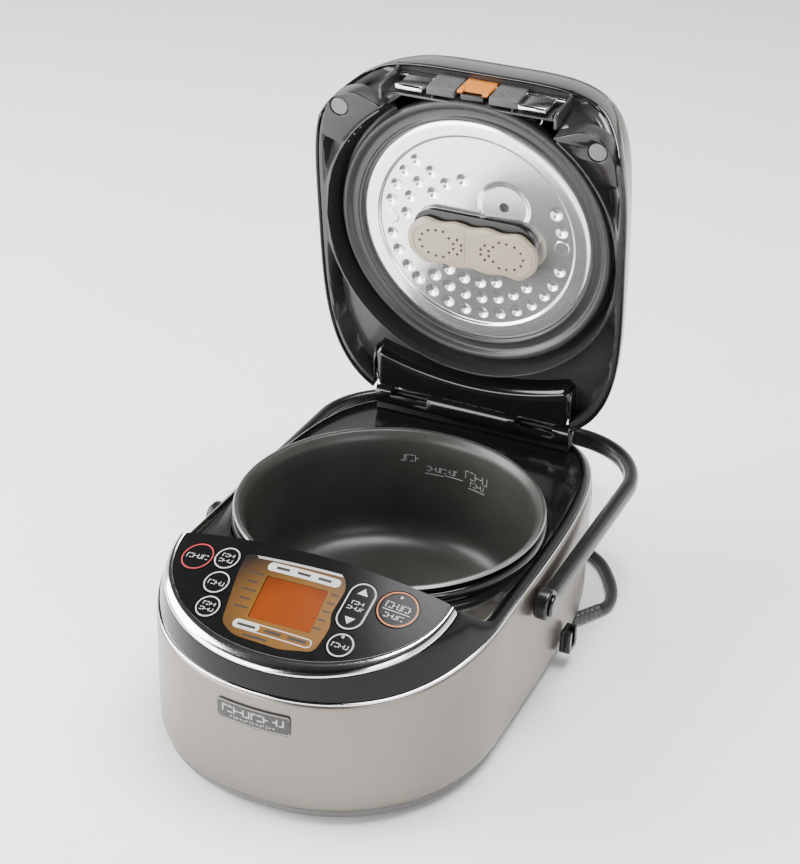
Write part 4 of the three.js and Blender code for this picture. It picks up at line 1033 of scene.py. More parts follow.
def make_badge():
    """A plate that follows the casing's curve, with a raised rim and two lines of made-up characters."""
    half, tall, middle, radius = 26, 7.5, 76.5, 1.6
    rings = []
    for k in range(53):
        x = mix(-half, half, k / 52)
        corner = radius - math.sqrt(max(0, radius**2 - max(0, abs(x) - half + radius) ** 2))
        top = tall - corner
        side = [(-top, 0.2), (top, 0.2), (top, 1.1), (-top, 1.1)]
        rings.append([(x, front_y(x) - depth, middle + z) for z, depth in side])
    skinned("badge", rings, "body", "badge_grey", ["badge"], degrees=40)
    rim = dense(stadium(0, middle, 50.4, 13.4, 1.3, 5), 1.5)
    path = [(x, front_y(x) - 0.92, z) for x, z in rim]
    swept("badge rim", path, round_section(0.26, sides=8), "body", "print_white", closed=True)
    strokes = []
    for k in range(10):
        x = -20.5 + 4.3 * k + (2.2 if k > 7 else 0)
        strokes += glyph(x, 77.9, 3.4, 5.2, k, 0.95)
    for k in range(14):
        strokes += glyph(-15 + 2.3 * k, 72.6, 1.5, 1.7, k, 0.35)
    join_plates("badge marks", strokes, 1.0, 1.2, "body", "print_white", on_front)


make_badge()


# ---------------------------------------------------------------- pot, its seat, the liner and the heating
POT_PROFILE = [
    (0, 32, 0), (103.5, 32, 25), (103.5, 119.5, 3), (104.2, 123.4, 1), (109, 124, 1), (110.2, 125.2, 0.8),
    (109.3, 126.5, 0.8), (106.6, 126.6, 1.4), (102.7, 121.5, 3), (101.1, 111, 6), (101.1, 34.4, 23),
    (0, 34.4, 0),
]
POT_EDGE = [
    (109.75, 124.6, 0.2), (110.25, 125.2, 0.2), (109.4, 126.6, 0.2), (108.3, 126.72, 0.1), (109.2, 126.2, 0.1)
]
# Start along the wall, height, how many characters and how tall they are.
LEVEL_WORDS = [(-34, 106, 4, 5.5), (-14, 99, 6, 4), (2.5, 99.5, 3, 4.4), (18, 102, 5, 6.5), (22, 95, 5, 4)]
LEVEL_LINES = [(-14, 94.5), (2, 95.5), (22, 91)]


def make_pot():
    turned_piece("pot", POT_PROFILE, "pot", "non_stick", ["inner_pot"], 256, 50)
    turned_piece("pot lip edge", POT_EDGE, "pot", "satin_steel", segments=256, degrees=70)


def on_pot_wall(along, z, depth):
    """A flat (along, z) mark on the pot's inner wall: along runs clockwise from straight back."""
    radius = 101.0 - depth
    return *polar(radius, math.pi / 2 - along / radius), z


def make_level_marks():
    """Generic filling marks on the wall: a word of made-up characters over each level line."""
    strokes = []
    for start, z, count, tall in LEVEL_WORDS:
        for k in range(count):
            strokes += glyph(start + k * tall * 0.66, z, tall * 0.5, tall, k + count)
    for low, z in LEVEL_LINES:
        strokes.append(bar_outline(low + 5, z, 15, 0.6))
    strokes = [dense(stroke, 2) for stroke in strokes]
    join_plates("pot level marks", strokes, 0.0, 0.06, "pot", "print_grey", on_pot_wall)


SEAT_PROFILE = [
    (105.6, 110.5, 0.2), (105.6, 119, 1), (107, 120.8, 1), (110, 120.4, 1.4), (SEAT_RADIUS, 117.5, 1.5),
    (SEAT_RADIUS, 110.5, 0.2),
]
LINER_PROFILE = [
    (17, 27, 0.3), (109.4, 27, 26), (109.4, 109.5, 0.5), (107.8, 109.5, 0.5), (107.8, 28.6, 25),
    (17, 28.6, 0.3),
]
SENSOR_PROFILE = [
    (0, 20, 0), (6, 20, 0.4), (6, 26, 0.8), (14.5, 27.2, 1), (15, 30.8, 0.8), (13.5, 31.6, 0.6), (0, 31.6, 0)
]


def make_heating():
    turned_piece("pot seat", SEAT_PROFILE, "body", "gloss_black", ["pot_seat_ring"])
    turned_piece("liner", LINER_PROFILE, "body", "aluminium", ["inner_liner"])
    winding = [(24, 19.5), (24, 26.2)]
    wires = 22
    for k in range(wires * 6 + 1):
        radius = mix(25, 93, k / (wires * 6))
        bulge = 0.9 * abs(math.sin(math.pi * k / 6))
        winding.append((radius, 25.4 + bulge + 2.0 * smooth((radius - 80) / 13)))
    winding += [(95, 25.5), (84, 19.5)]
    points, faces = turned(winding, segments=96)
    object_from("induction coil", points, faces, "body", "copper", ["induction_coil"], 25)
    turned_piece("centre sensor", SENSOR_PROFILE, "sensor", "aluminium", ["centre_sensor"], 64)


make_pot()
make_level_marks()
make_heating()

# ---------------------------------------------------------------- lid shell and dome
LID_HALF, LID_FRONT, LID_REAR = 119.5, 119, 158
LID_FRONT_POWER, LID_REAR_POWER = 4.4, 3.6
# Height, then how far the sides, the front and the rear have drawn in there.
DOME = [
    (116, 0, 0, 0), (126, 1.5, 0.2, 1), (150, 8.6, 1.5, 8), (170, 15, 5, 20), (188, 23, 12, 40),
    (199, 36, 26, 60), (205, 60, 52, 88),
]
HINGE_NOTCH = block_points((-81, 81), (138, 170), (100, 134.5))
VENT = (0, 34, 62, 46)
BUTTON = (0, -62, 46, 15)


def front_rise(y):
    return smooth((-80 - y) / 30)


def eased(rows, column, x):
    """A smooth curve through a table's rows."""
    xs = [row[0] for row in rows]
    ys = [row[column] for row in rows]
    x = min(max(x, xs[0]), xs[-1])
    k = max(i for i in range(len(xs) - 1) if xs[i] <= x)

    def slope(i):
        a, b = max(0, i - 1), min(len(xs) - 1, i + 1)
        return (ys[b] - ys[a]) / (xs[b] - xs[a])

    span = xs[k + 1] - xs[k]
    t = (x - xs[k]) / span
    start, end = slope(k) * span, slope(k + 1) * span
    rise = ys[k + 1] - ys[k]
    return ys[k] + start * t + (3 * rise - 2 * start - end) * t * t + (start + end - 2 * rise) * t**3


def lid_point(angle, height, inset=0.0):
    sides, front, rear = (eased(DOME, k, height) + inset for k in (1, 2, 3))
    c, s = math.cos(angle), math.sin(angle)
    exponent = 2 / (LID_FRONT_POWER if s < 0 else LID_REAR_POWER)
    depth = LID_FRONT - front if s < 0 else LID_REAR - rear
    return (LID_HALF - sides) * power(c, exponent), depth * power(s, exponent), height


def lid_ring(side_z, front_z, inset=0.0):
    """A ring on the lid whose height runs from one value at the sides and rear to another at the front."""
    out = []
    for i in range(AROUND):
        angle = 2 * math.pi * i / AROUND
        y = lid_point(angle, side_z, inset)[1]
        out.append(lid_point(angle, mix(side_z, front_z, front_rise(y)), inset))
    return out


def make_lid_shell():
    rows = [
        (116.3, 148.9, 2.0), (116, 148.6, 1.6), (116, 148.6, 0.9), (116.3, 148.9, 0.3), (117, 149.8, 0.12),
        (118.5, 151.5, 0.08), (122, 158, 0.08), (127, 166, 0.08), (129.5, 173, 0.08), (131.7, 179.5, 0.08),
        (132, 180, 0.4), (132, 180, 2), (127, 166, 2), (118, 150.5, 2),
    ]
    rings = [lid_ring(*row) for row in rows]
    shell = skinned("lid shell", rings, "lid", "gloss_black", ["lid_shell"], closed=True)
    cut_by(shell, [HINGE_NOTCH], on_lid=True)


def make_lid_dome():
    sides = [132.8, 133.1, 137, 143, 150, 157, 164, 170, 176, 182, 188, 192, 196, 199, 201.5, 203.5, 205]
    known = [132.8, 150, 170, 188, 199, 205]
    fronts = np.interp(sides, known, [180.8, 184, 189, 194, 200, 205])
    outside = [lid_ring(side, front, 0.5 if side < 133 else 0.1) for side, front in zip(sides, fronts)]
    inside_rows = [lid_ring(side, front, 1.4) for side, front in zip(sides, fronts)]
    inside_rows = [[(x, y, z - (1.2 if z > 190 else 0)) for x, y, z in ring] for ring in inside_rows]
    crown = []
    for s in (0.9, 0.8, 0.65, 0.5, 0.35, 0.2, 0.06):
        crown.append([(x * s, y * s, z + 2 * (1 - s * s)) for x, y, z in outside[-1]])
    under = [[(x, y, z - 1.2) for x, y, z in ring] for ring in crown]
    rings = [*under[::-1], *inside_rows[::-1], *outside, *crown]
    dome = skinned("lid dome", rings, "lid", "champagne", ["lid_top_plate"])
    vent = slab_points(stadium(*VENT, 16), 190, 220)
    button = slab_points(stadium(*BUTTON, 5), 190, 220)
    cut_by(dome, [HINGE_NOTCH, vent, button], on_lid=True)


def slab_points(outline, low, high):
    return lofted([[(x, y, low) for x, y in outline], [(x, y, high) for x, y in outline]])


def make_lid_top():
    x, y, width, height = VENT
    rim, well = stadium(x, y, width - 1, height - 1, 15.5), stadium(x, y, width - 5, height - 5, 13.5)
    pressed_plate(
        "vent rim", rim, 192, 203.5, "lid", "satin_black", [well], 0.6, replaces=["steam_vent_base"]
    )
    pressed_plate("vent floor", stadium(x, y, width - 4, height - 4, 14), 192, 195.8, "lid", "satin_black")
    slots = [stadium(x, y - 9 + 9 * k, 24, 3, 1.4, 4) for k in range(3)]
    cap = stadium(x, y, width - 6, height - 6, 13)
    pressed_plate(
        "vent cap", cap, 196.6, 210.3, "steam_cap", "satin_black", slots, 1.5, replaces=["steam_vent_cap"]
    )
    ring, gap = stadium(x, y, width - 16, height - 16, 10), stadium(x, y, width - 18, height - 18, 9)
    pressed_plate("vent cap ring", ring, 210.1, 210.5, "steam_cap", "dark_grey", [gap], 0.1)
    x, y, width, height = BUTTON
    key = stadium(x, y, width - 1, height - 1, 4.5)
    pressed_plate("open button", key, 199.5, 208.2, "button", "chrome", edge=1.4, replaces=["open_button"])
    mark = stadium(x, y, 16, 2.4, 1.1, 4)
    pressed_plate("open button mark", mark, 208.1, 208.3, "button", "dark_grey", edge=0.05)


# ---------------------------------------------------------------- lid's inner frame, seen when it is open
CUP_RADIUS = 112.4
RIM_SIDE_Z, RIM_FRONT_Z = 117.4, 149.6
BAY_HALF, BAY_REAR, BAY_ROOF = 64, -103.2, 151
BAY_ANGLE = math.asin((BAY_HALF + 2) / CUP_RADIUS)


def make_tray_rim():
    """The face between the shell and the cup: flush at its edges and hollow where the corners are wide."""
    outer = lid_ring(RIM_SIDE_Z, RIM_FRONT_Z, 2.55)
    rows = 16
    face, back = [], []
    for k in range(rows + 1):
        t = k / rows
        ring, behind = [], []
        for x, y, _ in outer:
            reach = math.hypot(x, y)
            width = reach - CUP_RADIUS
            travelled = t * width
            scale = (reach - travelled) / reach
            px, py = x * scale, y * scale
            hollow = 13 * smooth((width - 6) / 14) * smooth((travelled - 3) / 3.5)
            hollow *= smooth((width - travelled) / 2.5)
            level = mix(RIM_SIDE_Z, RIM_FRONT_Z, front_rise(py))
            hollow *= 1 - front_rise(py)
            ring.append((px, py, level + hollow))
            behind.append((px, py, level + hollow + 2.6))
        face.append(ring)
        back.append(behind)
    rim = skinned("tray rim", face + back[::-1], "lid", "tray_black", closed=True)
    cut_by(rim, [HINGE_NOTCH], on_lid=True)


def make_tray_cup():
    corners = [
        (112.5, 117.6, 0.6), (114.3, 117.6, 0.8), (114.4, 129.5, 1), (110.4, 139.7, 1), (60, 139.7, 0.5),
        (60, 137.5, 0.5), (108.5, 137.5, 2), (112.4, 129, 3),
    ]
    profile = rounded_profile(corners)
    start = -math.pi / 2 + BAY_ANGLE
    sweep = 2 * math.pi - 2 * BAY_ANGLE
    steps = 168
    rings = []
    for k in range(steps + 1):
        angle = start + sweep * k / steps
        rings.append([(*polar(radius, angle), height) for radius, height in profile])
    skinned("tray cup", rings, "lid", "tray_black", ["lid_inner_frame"])


def lid_bar(name, side, low, high, body, look, edge=0.4, replaces=()):
    """A bar along X from a side view of (y, z) corners with their radii."""
    pressed_plate(name, rounded_profile(side, 4), low, high, body, look, (), edge, along_x, replaces)


POT_CLEAR = 127.8  # what hangs over the pot stays above its lip


def make_latch_bay():
    wide = BAY_HALF + 2.4
    roof_top = BAY_ROOF + 2.2
    front, rear = BAY_REAR, BAY_REAR + 2
    roof = [(-115.4, BAY_ROOF, 0.5), (-101, BAY_ROOF, 1), (-101, roof_top, 0.5), (-113.5, roof_top, 0.5)]
    lid_bar("bay roof", roof, -wide, wide, "lid", "tray_black")
    wall = [(front, POT_CLEAR, 0.6), (rear, POT_CLEAR, 0.6), (rear, 153, 0.4), (front, 153, 0.4)]
    lid_bar("bay rear", wall, -wide, wide, "lid", "tray_black")
    cheek = [
        (-112, 148.4, 0.5), (-112, 121, 2), (-108, 118, 2), (rear, 118, 0.4), (rear, 153, 0.4),
        (-113.5, 153, 0.4), (-113.5, 148.4, 0.4),
    ]
    rib = [(-106.4, POT_CLEAR + 1.5, 0.8), (-103.4, POT_CLEAR, 0.3), (-103.4, 150.6, 0.2), (-105, 150.6, 0.2)]
    for side, sign in SIDES:
        low, high = sorted((sign * (BAY_HALF + 0.2), sign * wide))
        lid_bar(f"bay cheek {side}", cheek, low, high, "lid", "tray_black")
        for n, across in enumerate((30, 59)):
            rib_low = sign * across - 0.6
            lid_bar(f"bay rib {side} {n}", rib, rib_low, rib_low + 1.2, "lid", "tray_black", 0.3)


PAD_FACE, PAD_INNER = 115.8, 115.2  # height of the face, radius of the inner edge
PAD_PLUG = (96.8, -90.7)
PAD_CORNERS = [
    (69.5, -102.5, 2), (88, -103.5, 4), (101, -99.5, 7), (108.5, -88, 7), (111.5, -66, 2), (97, -61.5, 2)
]
PLUG_PROFILE = [
    (0, PAD_FACE + 0.2, 0), (6.3, PAD_FACE + 0.2, 0.5), (6.6, PAD_FACE + 0.8, 0.3), (6.6, PAD_FACE + 8, 0.2),
    (0, PAD_FACE + 8, 0),
]


def make_corner_pads():
    """A flat pad with a round plug over a screw, at each front corner."""
    first, last = math.atan2(-61.5, 97), math.atan2(-102.5, 69.5)
    for side, sign in SIDES:
        inner = []
        for k in range(9):
            inner.append(polar(PAD_INNER, first + (last - first) * k / 8))
        outline = rounded_profile(PAD_CORNERS)[6:-6] + inner
        outline = [(sign * x, y) for x, y in outline]
        plug = circle(sign * PAD_PLUG[0], PAD_PLUG[1], 7.2, 40)
        low, high = PAD_FACE, PAD_FACE + 2.2
        pressed_plate(f"corner pad {side}", outline, low, high, "lid", "gloss_black", [plug], 0.5)
        wall = [(x * 0.995, y * 0.995) for x, y in outline]
        low, high = PAD_FACE + 1.8, PAD_FACE + 16
        pressed_plate(f"corner pad wall {side}", wall, low, high, "lid", "tray_black", [plug], 0.2)
        spot = (sign * PAD_PLUG[0], PAD_PLUG[1])
        turned_piece(f"corner plug {side}", PLUG_PROFILE, "lid", "plug_grey", segments=48, place=spot)
        for n in range(3):
            angle = -math.pi / 2 + sign * math.radians(47.5 + 4.2 * n)
            rib = stadium(0, 0, 3.6, 1.8, 0.6, 3)
            middle, turn = Vector(polar(CUP_RADIUS + 0.3, angle)), Matrix.Rotation(angle, 2)
            placed = [tuple(middle + turn @ Vector(p)) for p in rib]
            pressed_plate(f"cup rib {side} {n}", placed, 119, 138, "lid", "tray_black", edge=0.3)


def make_hinge_cover():
    """The rounded cover in front of the hinge, with a lip whose edge bows outwards in the middle."""
    rings = []
    stations = 60
    half = 79
    for k in range(stations + 1):
        x = mix(-half, half, k / stations)
        bow = 126 - 10 * min(1.3, (x / 66) ** 2)
        end = 1 - smooth((abs(x) - half + 3) / 3) * 0.35
        side = [
            (bow - 8, 135.5, 1), (bow - 3.5, 126.5, 4), (bow - 0.5, 121.6, 2.2), (bow + 2, 119.2, 1.2),
            (bow + 8, 118.6, 3), (142.6, 118.6, 1.2), (143.6, 119.2, 0.4), (143.4, 120.2, 0.4),
            (142, 120.4, 1.2), (bow + 9, 120.4, 3), (bow + 3.2, 121.2, 1.2), (bow + 1.4, 123, 2),
            (bow - 1.4, 127.6, 4), (bow - 5.5, 136.6, 1),
        ]
        middle = Vector((bow + 6, 124))
        rings.append([(x, *(middle + (Vector(p) - middle) * end)) for p in rounded_profile(side, 4)])
    skinned("hinge cover", rings, "lid", "gloss_black")
    cheek = [
        (112, 137, 1), (112, 124, 5), (120, 118.4, 5), (142, 118.2, 1), (143, 120, 1), (138, 134.5, 2),
        (134, 137, 1),
    ]
    web = [(120, 122.4, 0.5), (133, 119.4, 1), (133, 120.6, 0.5), (121, 124, 0.5)]
    for side, sign in SIDES:
        low, high = sorted((sign * 79.2, sign * 80.8))
        lid_bar(f"hinge cheek {side}", cheek, low, high, "lid", "gloss_black", 0.4)
        low, high = sorted((sign * 60, sign * 79))
        lid_bar(f"hinge web {side}", web, low, high, "lid", "tray_black", 0.3)


BARREL_RADIUS, BARREL_WALL = 10.3, 1.0
ARM_SPAN = (35.8, 66.8)  # where the lid's arms pass through the barrel


def make_hinge_barrel():
    """The fixed round cover over the knuckles. It stops lower where the lid's two arms swing through."""
    half, steps = 79.3, 30
    stations = [-half, -ARM_SPAN[1], -ARM_SPAN[1] + 0.2, -ARM_SPAN[0] - 0.2, -ARM_SPAN[0]]
    stations += [mix(-ARM_SPAN[0], ARM_SPAN[0], k / 12) for k in range(1, 12)] + [-x for x in stations[::-1]]
    rings = []
    for x in stations:
        in_arm_span = ARM_SPAN[0] < abs(x) < ARM_SPAN[1]
        top = math.radians(169 if in_arm_span else 133)
        bottom = math.radians(232)
        outer = [(HINGE_Y - 6.6, DECK_Z + 0.4)]
        inner = [(HINGE_Y - 6.0, DECK_Z + 0.4)]
        for k in range(steps + 1):
            angle = mix(bottom, top, k / steps)
            outer.append(polar(BARREL_RADIUS, angle, HINGE_Y, HINGE_Z))
            inner.append(polar(BARREL_RADIUS - BARREL_WALL, angle, HINGE_Y, HINGE_Z))
        rings.append([(x, y, z) for y, z in outer + inner[::-1]])
    skinned("hinge barrel", rings, "body", "gloss_black")


BLOCK_FACE = -111.8
# Side views of (y, z) corners with their radii, and the arrow on a block as (across, z).
HOOK = [
    (-109.4, 148.8, 0.6), (-109.4, 126.2, 0.4), (-111.7, 126, 0.5), (-112, 124.6, 1), (-110.8, 123.4, 0.9),
    (-108.4, 123.4, 1.2), (-107.4, 125.4, 1.2), (-107.4, 148.8, 0.6),
]
BLOCK = [
    (BLOCK_FACE, 128.5, 0.6), (-110.6, 127, 1), (-106.2, 127, 0.5), (-106.2, 150.6, 0.5),
    (BLOCK_FACE, 150.6, 0.5),
]
LEVER = [
    (-112, 131.5, 0.8), (-110.6, 131, 0.8), (-109.6, 138, 0.8), (-107, 140, 0.6), (-107, 150.2, 0.6),
    (-112, 150.2, 0.8),
]
LEVER_TAB = [
    (-112.5, 131, 1.0), (-111.8, 128.4, 1), (-110.2, 128.4, 0.8), (-109.6, 134, 1), (-111.4, 140, 1),
    (-112.4, 136, 1),
]
ARROW = [(-4.4, 136), (0, 130.4), (4.4, 136), (1.9, 136), (1.9, 146), (-1.9, 146), (-1.9, 136)]


def on_block(u, v, depth):
    """Stands a flat mark up on the face of an arrow block."""
    return u, BLOCK_FACE - depth, v


def make_latch():
    """Two folded hooks on one shaft, arrow blocks beside them and the orange release lever between."""
    for side, low in (("left", -56), ("right", 36)):
        lid_bar(f"latch hook {side}", HOOK, low, low + 20, "latch", "chrome", 0.5)
    shaft = [(x, -108.2, 147) for x in (-62, 62)]
    swept("latch shaft", shaft, round_section(1.8), "latch", "chrome", ["lid_latch"])
    for side, low, near, far in (("left", -34, -19, -27.5), ("right", 13, 19, 27.5)):
        lid_bar(f"arrow block {side}", BLOCK, low, low + 21, "lid", "dark_grey", 0.5, [f"arrow_block_{side}"])
        arrow = [(near + u, v) for u, v in ARROW]
        inner = shrink(arrow[::-1], 0.75)
        pressed_plate(f"arrow mark {side}", arrow, 0, 0.25, "lid", "base_grey", [inner], 0.06, on_block)
        strokes = []
        for n, (dx, dz) in enumerate(((-2.6, 134.5), (2.6, 134.5), (-2.6, 142), (2.6, 142))):
            strokes += glyph(far + dx, dz, 3.6, 5, n)
        join_plates(f"arrow note {side}", strokes, -0.05, 0.18, "lid", "base_grey", on_block)
    lid_bar("release lever", LEVER, -11.4, 11.4, "lever", "orange", 0.9, ["release_lever"])
    for side, low in (("left", -11.5), ("right", 7.3)):
        lid_bar(f"lever tab {side}", LEVER_TAB, low, low + 4.2, "lever", "orange", 0.7)
    guide = [(-110.4, POT_CLEAR, 0.8), (-106, POT_CLEAR, 0.8), (-106, 137, 0.5), (-109, 137, 0.5)]
    lid_bar("lever guide", guide, -8.5, 8.5, "lid", "gloss_black", 0.5)


make_lid_shell()
make_lid_dome()
make_lid_top()
make_tray_rim()
make_tray_cup()
make_latch_bay()
make_corner_pads()
make_hinge_cover()
make_hinge_barrel()
make_latch()

# ---------------------------------------------------------------- inner lid: plate, gasket and valve
PLATE_Z = 131
# Radius, first angle, step and count of each run of dimples.
DIMPLES = [
    (67.5, 132, 12, 4), (67.5, -168, 12, 3), (67.5, -134, 12, 9), (67.5, -28, 12, 2), (67.5, 12, 12, 2),
    (54.5, 128, 15.5, 4), (54.5, -128, 14, 7), (41.5, 103, 19.5, 3), (41.5, -122, 18, 4),
]
DIMPLE_RADIUS, DIMPLE_DEPTH = 4.7, 1.5
BALL_HOLE = (22, 24.4)
SEAT_TURN, SEAT_REACH = math.radians(42), 16.5  # the seat is deepest this way from its hole


PLATE_RIM = [75.6, 76.1, 76.6, 77.1, 77.7, 79, 81, 83, 85, 86.6, 87.4, 88, 88.4]
# Radius, then height over PLATE_Z, of the rings on the plate's back.
PLATE_BACK = [(88.5, 2.9), (87.4, 3), (86.4, 2.9), (77, 3.3), (0.8, 3.4)]


def dimple_places():
    for radius, first, step, count in DIMPLES:
        for k in range(count):
            yield polar(radius, math.radians(first + k * step))


def make_inner_plate():
    """Pressed steel: a rolled rim, a step, dimples, and a tilted seat round the pressure ball's hole.

    The plate is shaped in (x, v), where v is up on the open lid, and v = -y when it is closed.
    """
    places = np.array(list(dimple_places()))
    segments, spacing = 400, 0.85
    radii = list(np.arange(0.8, 75, spacing)) + PLATE_RIM
    rows = []
    for radius in radii:
        angle = 2 * np.pi * np.arange(segments) / segments
        x, v = radius * np.cos(angle), radius * np.sin(angle)
        gap = np.min(np.hypot(x[:, None] - places[:, 0], v[:, None] - places[:, 1]), axis=1)
        press = np.clip(1 - (gap / DIMPLE_RADIUS) ** 2, 0, 1) ** 1.3 * DIMPLE_DEPTH
        hx, hv = x - BALL_HOLE[0], v - BALL_HOLE[1]
        lean = np.clip((hx * math.cos(SEAT_TURN) + hv * math.sin(SEAT_TURN)) / SEAT_REACH, -1, 1)
        wall = np.clip((np.hypot(hx, hv) - SEAT_REACH) / 4, 0, 1)
        seat = (0.3 + 1.2 * lean) * (1 - wall * wall * (3 - 2 * wall))
        step = 1.6 * smooth((77.1 - radius) / 1.5)
        rolled = 1.3 * max(0.0, (radius - 84) / 4.4) ** 2
        rows.append(PLATE_Z + step + rolled + press + seat)
    round_plate = [(c, -sine) for c, sine in circle(0, 0, 1, segments)]
    face = []
    for radius, heights in zip(radii, rows):
        face.append([(radius * c, radius * d, float(z)) for (c, d), z in zip(round_plate, heights)])
    back = [[(radius * c, radius * d, PLATE_Z + rise) for c, d in round_plate] for radius, rise in PLATE_BACK]
    plate = skinned("inner plate", face + back, "inner_lid", "plate_steel", ["inner_lid_plate"], 60)
    hx, hv = BALL_HOLE
    cut_by(plate, [slab_points(circle(hx, -hv, 3.7, 48), 120, 140)], on_lid=True)
    # A thin black disc behind the ball's hole, so that the hole reads dark: painted shade.
    shade_disc = [(0, 134.5, 0), (6, 134.5, 0), (6, 135.1, 0), (0, 135.1, 0)]
    turned_piece("ball hole painted shade", shade_disc, "inner_lid", "rubber", segments=48, place=(hx, -hv))
    rivet = [(0, 1.1, 0), (5.2, 1.1, 0.4), (5.8, 1.7, 0.3), (5.8, 2.4, 0.1), (0, 2.4, 0)]
    rivet = [(radius, PLATE_Z + rise, rounding) for radius, rise, rounding in rivet]
    for side, spot in (("left", (-66.5, 0)), ("right", (66.5, -1))):
        turned_piece(f"plate rivet {side}", rivet, "inner_lid", "plate_steel", segments=48, place=spot)
    heater = [(0, 135.2, 0), (100, 135.2, 0.4), (100, 136.4, 0.4), (0, 136.4, 0)]
    turned_piece("lid heater", heater, "lid", "aluminium", ["lid_heater_plate"])


GASKET_PROFILE = [
    (88.7, 131.6, 0.4), (89.4, 129.3, 0.9), (91.4, 128.9, 0.9), (92.8, 130.4, 1.2), (98, 130.6, 2),
    (100.2, 127.4, 2.2), (103.6, 127.0, 1.6), (104.9, 129, 1), (104.9, 134.6, 0.4), (88.7, 134.6, 0.4),
]


def make_gasket():
    turned_piece("gasket", GASKET_PROFILE, "inner_lid", "rubber", ["inner_lid_gasket"], 256, 60)


# Distances across and up from the valve cover's middle. Each hole has its mirror images.
VALVE_HOLES = [
    (40.3, 0), (38.6, 5.2), (33.8, 9.2), (27.6, 10.5), (21.8, 10.5),
    (17.3, 6), (13.9, 2.1), (10.8, 6), (7.6, 2.1),
]


def make_valve():
    """The vent's removable cover: a beige capsule with a wavy edge and small holes, on a black base."""
    base = stadium(0.5, 4, 96, 38, 17)
    low, high = PLATE_Z - 3.4, PLATE_Z + 1.2
    pressed_plate(
        "valve base", base, low, high, "inner_lid", "gloss_black", edge=0.8, replaces=["valve_base"]
    )
    outline = []
    for x, y in dense(stadium(0, 0, 101, 35, 16), 1.5):
        wave = 0.9 * math.cos(x * 2 * math.pi / 24) if abs(y) > 12 else 0
        outline.append((x + 0.5, y * (1 - wave / 17.5) + 9))
    holes = []
    for u, v in VALVE_HOLES:
        for side in (-1, 1):
            holes += [circle(0.5 + side * u, 9 + sign * v, 1.15, 16) for sign in ((-1, 1) if v else (1,))]
    low, high = PLATE_Z - 9, PLATE_Z - 3.6
    cover = pressed_plate(
        "valve cover", outline, low, high, "inner_lid", "beige", edge=1.6, replaces=["valve_cover"]
    )
    cut_by(cover, [slab_points(hole, low - 1, high - 1.2) for hole in holes], on_lid=True)
    bead = [(x * 0.93 + 0.03, (y - 9) * 0.86 + 9) for x, y in outline]
    groove = [(x * 0.905 + 0.05, (y - 9) * 0.80 + 9) for x, y in outline]
    pressed_plate("valve cover bead", bead, low - 0.35, low + 0.5, "inner_lid", "beige", [groove], 0.2)
    rule = stadium(-5, 9, 0.7, 24, 0.3, 3)
    pressed_plate("valve cover rule", rule, low - 0.3, low + 0.4, "inner_lid", "beige", edge=0.1)


make_inner_plate()
make_gasket()
make_valve()

# ---------------------------------------------------------------- carry handle and the spatula holder's mount
HANDLE_X, HANDLE_Y, HANDLE_Z, HANDLE_REACH, HANDLE_CORNER = 126.5, -20, 91, 232, 62


def handle_path():
    path = [(HANDLE_X, 10 * k, 0) for k in range(0, 17)]
    turn_steps = 28
    centre_x, centre_y = HANDLE_X - HANDLE_CORNER, HANDLE_REACH - HANDLE_CORNER
    for k in range(turn_steps + 1):
        angle = math.pi / 2 * k / turn_steps
        path.append((*polar(HANDLE_CORNER, angle, centre_x, centre_y), 0))
    path += [(HANDLE_X - HANDLE_CORNER - 16 * k, HANDLE_REACH, 0) for k in range(1, 4)]
    whole = path + [(-x, y, z) for x, y, z in reversed(path)]
    return [(x, y + HANDLE_Y, z + HANDLE_Z) for x, y, z in whole]


def make_handle():
    section = [(5.8 * power(u, 0.9), 7.5 * power(v, 0.9)) for u, v in circle(0, 0, 1, 32)]
    swept("handle", handle_path(), section, "handle", "handle_black", ["carry_handle"], degrees=60)
    eye = [(5.4, -5, 0.2), (10, -5, 1.2), (11, -3.8, 1.2), (11, 3.8, 1.2), (10, 5, 1.2), (5.4, 5, 0.2)]
    head = [
        (0, 120.4, 0), (5, 120.4, 0.3), (5, 131.8, 0.3), (8, 132.2, 0.5), (8, 133.4, 0.8), (6.6, 134.3, 0.6),
        (0, 134.3, 0),
    ]
    for side, sign in SIDES:
        points, faces = turned(rounded_profile(eye), segments=64)
        points = [(sign * (HANDLE_X + z), HANDLE_Y + x, HANDLE_Z + y) for x, y, z in points]
        object_from(f"handle eye {side}", points, faces, "handle", "handle_black", degrees=50)
        points, faces = turned(rounded_profile(head), segments=64)
        points = [(sign * z, HANDLE_Y + x, HANDLE_Z + y) for x, y, z in points]
        replaced = [f"handle_pivot_{side}"]
        object_from(f"handle pivot {side}", points, faces, "body", "gloss_black", replaced, 50)


def on_side(y, z, x):
    """Stands a flat (y, z) piece up against the body's right side."""
    return x, y, z


def make_spatula_mount():
    back = rounded_outline([(36, 13), (52, 13), (52, 31), (36, 31)], 2.5)
    arms = [
        (36, 13, 2.5), (52, 13, 2.5), (52, 31, 2), (47.5, 31, 1), (47.5, 17, 1), (40.5, 17, 1), (40.5, 31, 1),
        (36, 31, 2),
    ]
    name = "spatula mount"
    pressed_plate(
        f"{name} back", back, 120.5, 123.5, "body", "gloss_black", (), 0.5, on_side, ["spatula_holder_mount"]
    )
    front = rounded_profile(arms)
    pressed_plate(f"{name} front", front, 123.4, 128.5, "body", "gloss_black", (), 0.7, on_side)


make_handle()
make_spatula_mount()


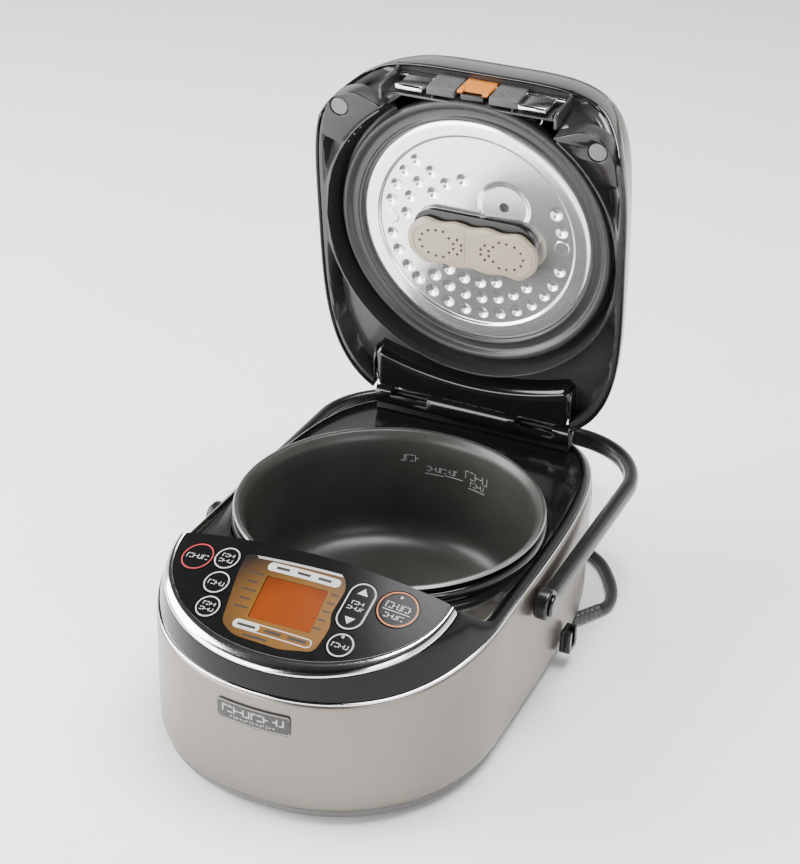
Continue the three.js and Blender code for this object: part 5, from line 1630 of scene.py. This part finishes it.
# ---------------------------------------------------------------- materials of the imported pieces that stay
CARRIED = {
    "satin_black": ["hinge_support", "fan_frame", "fan_rotor"],
    "black_steel": ["hinge_pin", "lid_spring"],
    "satin_steel": ["latch_catch"],
    "dark_grey": ["ferrite_core"],
    "aluminium": ["heat_sink"],
    "board": ["control_board", "power_board"],
}


def finish_carried():
    for look, names in CARRIED.items():
        for name in names:
            obj = frame["nodes"][name]
            for place in obj.material_slots:
                place.material = MATERIAL[look]


finish_carried()


# ---------------------------------------------------------------- floor, light and room
def make_floor():
    bpy.ops.mesh.primitive_plane_add(size=40, location=(0, 0, -0.0002))
    floor = bpy.context.object
    floor.name = "floor"
    paper = make_material("pale floor", (0.92, 0.916, 0.908), 0.75, 0, 0.01, 60, 0.01)
    floor.data.materials.append(paper)


def make_light(name, place, target, size, watts):
    data = bpy.data.lights.new(name, "AREA")
    data.shape = "RECTANGLE"
    data.size, data.size_y = size
    data.energy = watts
    light = bpy.data.objects.new(name, data)
    way = Vector(target) - Vector(place)
    light.matrix_world = Matrix.Translation(place) @ way.to_track_quat("-Z", "Y").to_matrix().to_4x4()
    bpy.context.scene.collection.objects.link(light)


def make_lights():
    make_light("window", (-1.8, -0.5, 1.2), (0, 0, 0.15), (1.4, 1.6), 104)
    make_light("ceiling", (0.35, 0.3, 2.3), (0, 0, 0.1), (1.5, 1.2), 112)
    make_light("front card", (-0.62, -0.95, 0.32), (0, 0.1, 0.3), (0.8, 0.55), 13)
    make_light("fill", (1.5, -1.3, 0.9), (0, 0, 0.15), (1.0, 1.0), 14)


def make_room():
    """A white room, darker high up and behind the photographer, so that gloss black stays black there."""
    world = bpy.data.worlds.new("room")
    world.use_nodes = True
    nodes, links = world.node_tree.nodes, world.node_tree.links
    place = nodes.new("ShaderNodeTexCoord")

    def fade(towards, bright_at, dark_at, dark):
        """Full strength, falling to dark where a direction comes near to the one named."""
        along = nodes.new("ShaderNodeVectorMath")
        along.operation = "DOT_PRODUCT"
        links.new(place.outputs["Generated"], along.inputs[0])
        along.inputs[1].default_value = Vector(towards).normalized()
        ramp = nodes.new("ShaderNodeValToRGB")
        ramp.color_ramp.elements[0].position = bright_at
        ramp.color_ramp.elements[0].color = (1, 1, 1, 1)
        ramp.color_ramp.elements[1].position = dark_at
        ramp.color_ramp.elements[1].color = (dark, dark, dark, 1)
        links.new(along.outputs["Value"], ramp.inputs["Fac"])
        return ramp.outputs["Color"]

    both = nodes.new("ShaderNodeMixRGB")
    both.blend_type = "MULTIPLY"
    both.inputs["Fac"].default_value = 1
    links.new(fade((0, 0, 1), 0.3, 0.62, 0.02), both.inputs["Color1"])
    links.new(fade((-0.12, -0.86, 0.48), 0.66, 0.9, 0.04), both.inputs["Color2"])
    links.new(both.outputs["Color"], nodes["Background"].inputs["Color"])
    nodes["Background"].inputs["Strength"].default_value = 1.35
    bpy.context.scene.world = world


make_floor()
make_lights()
make_room()
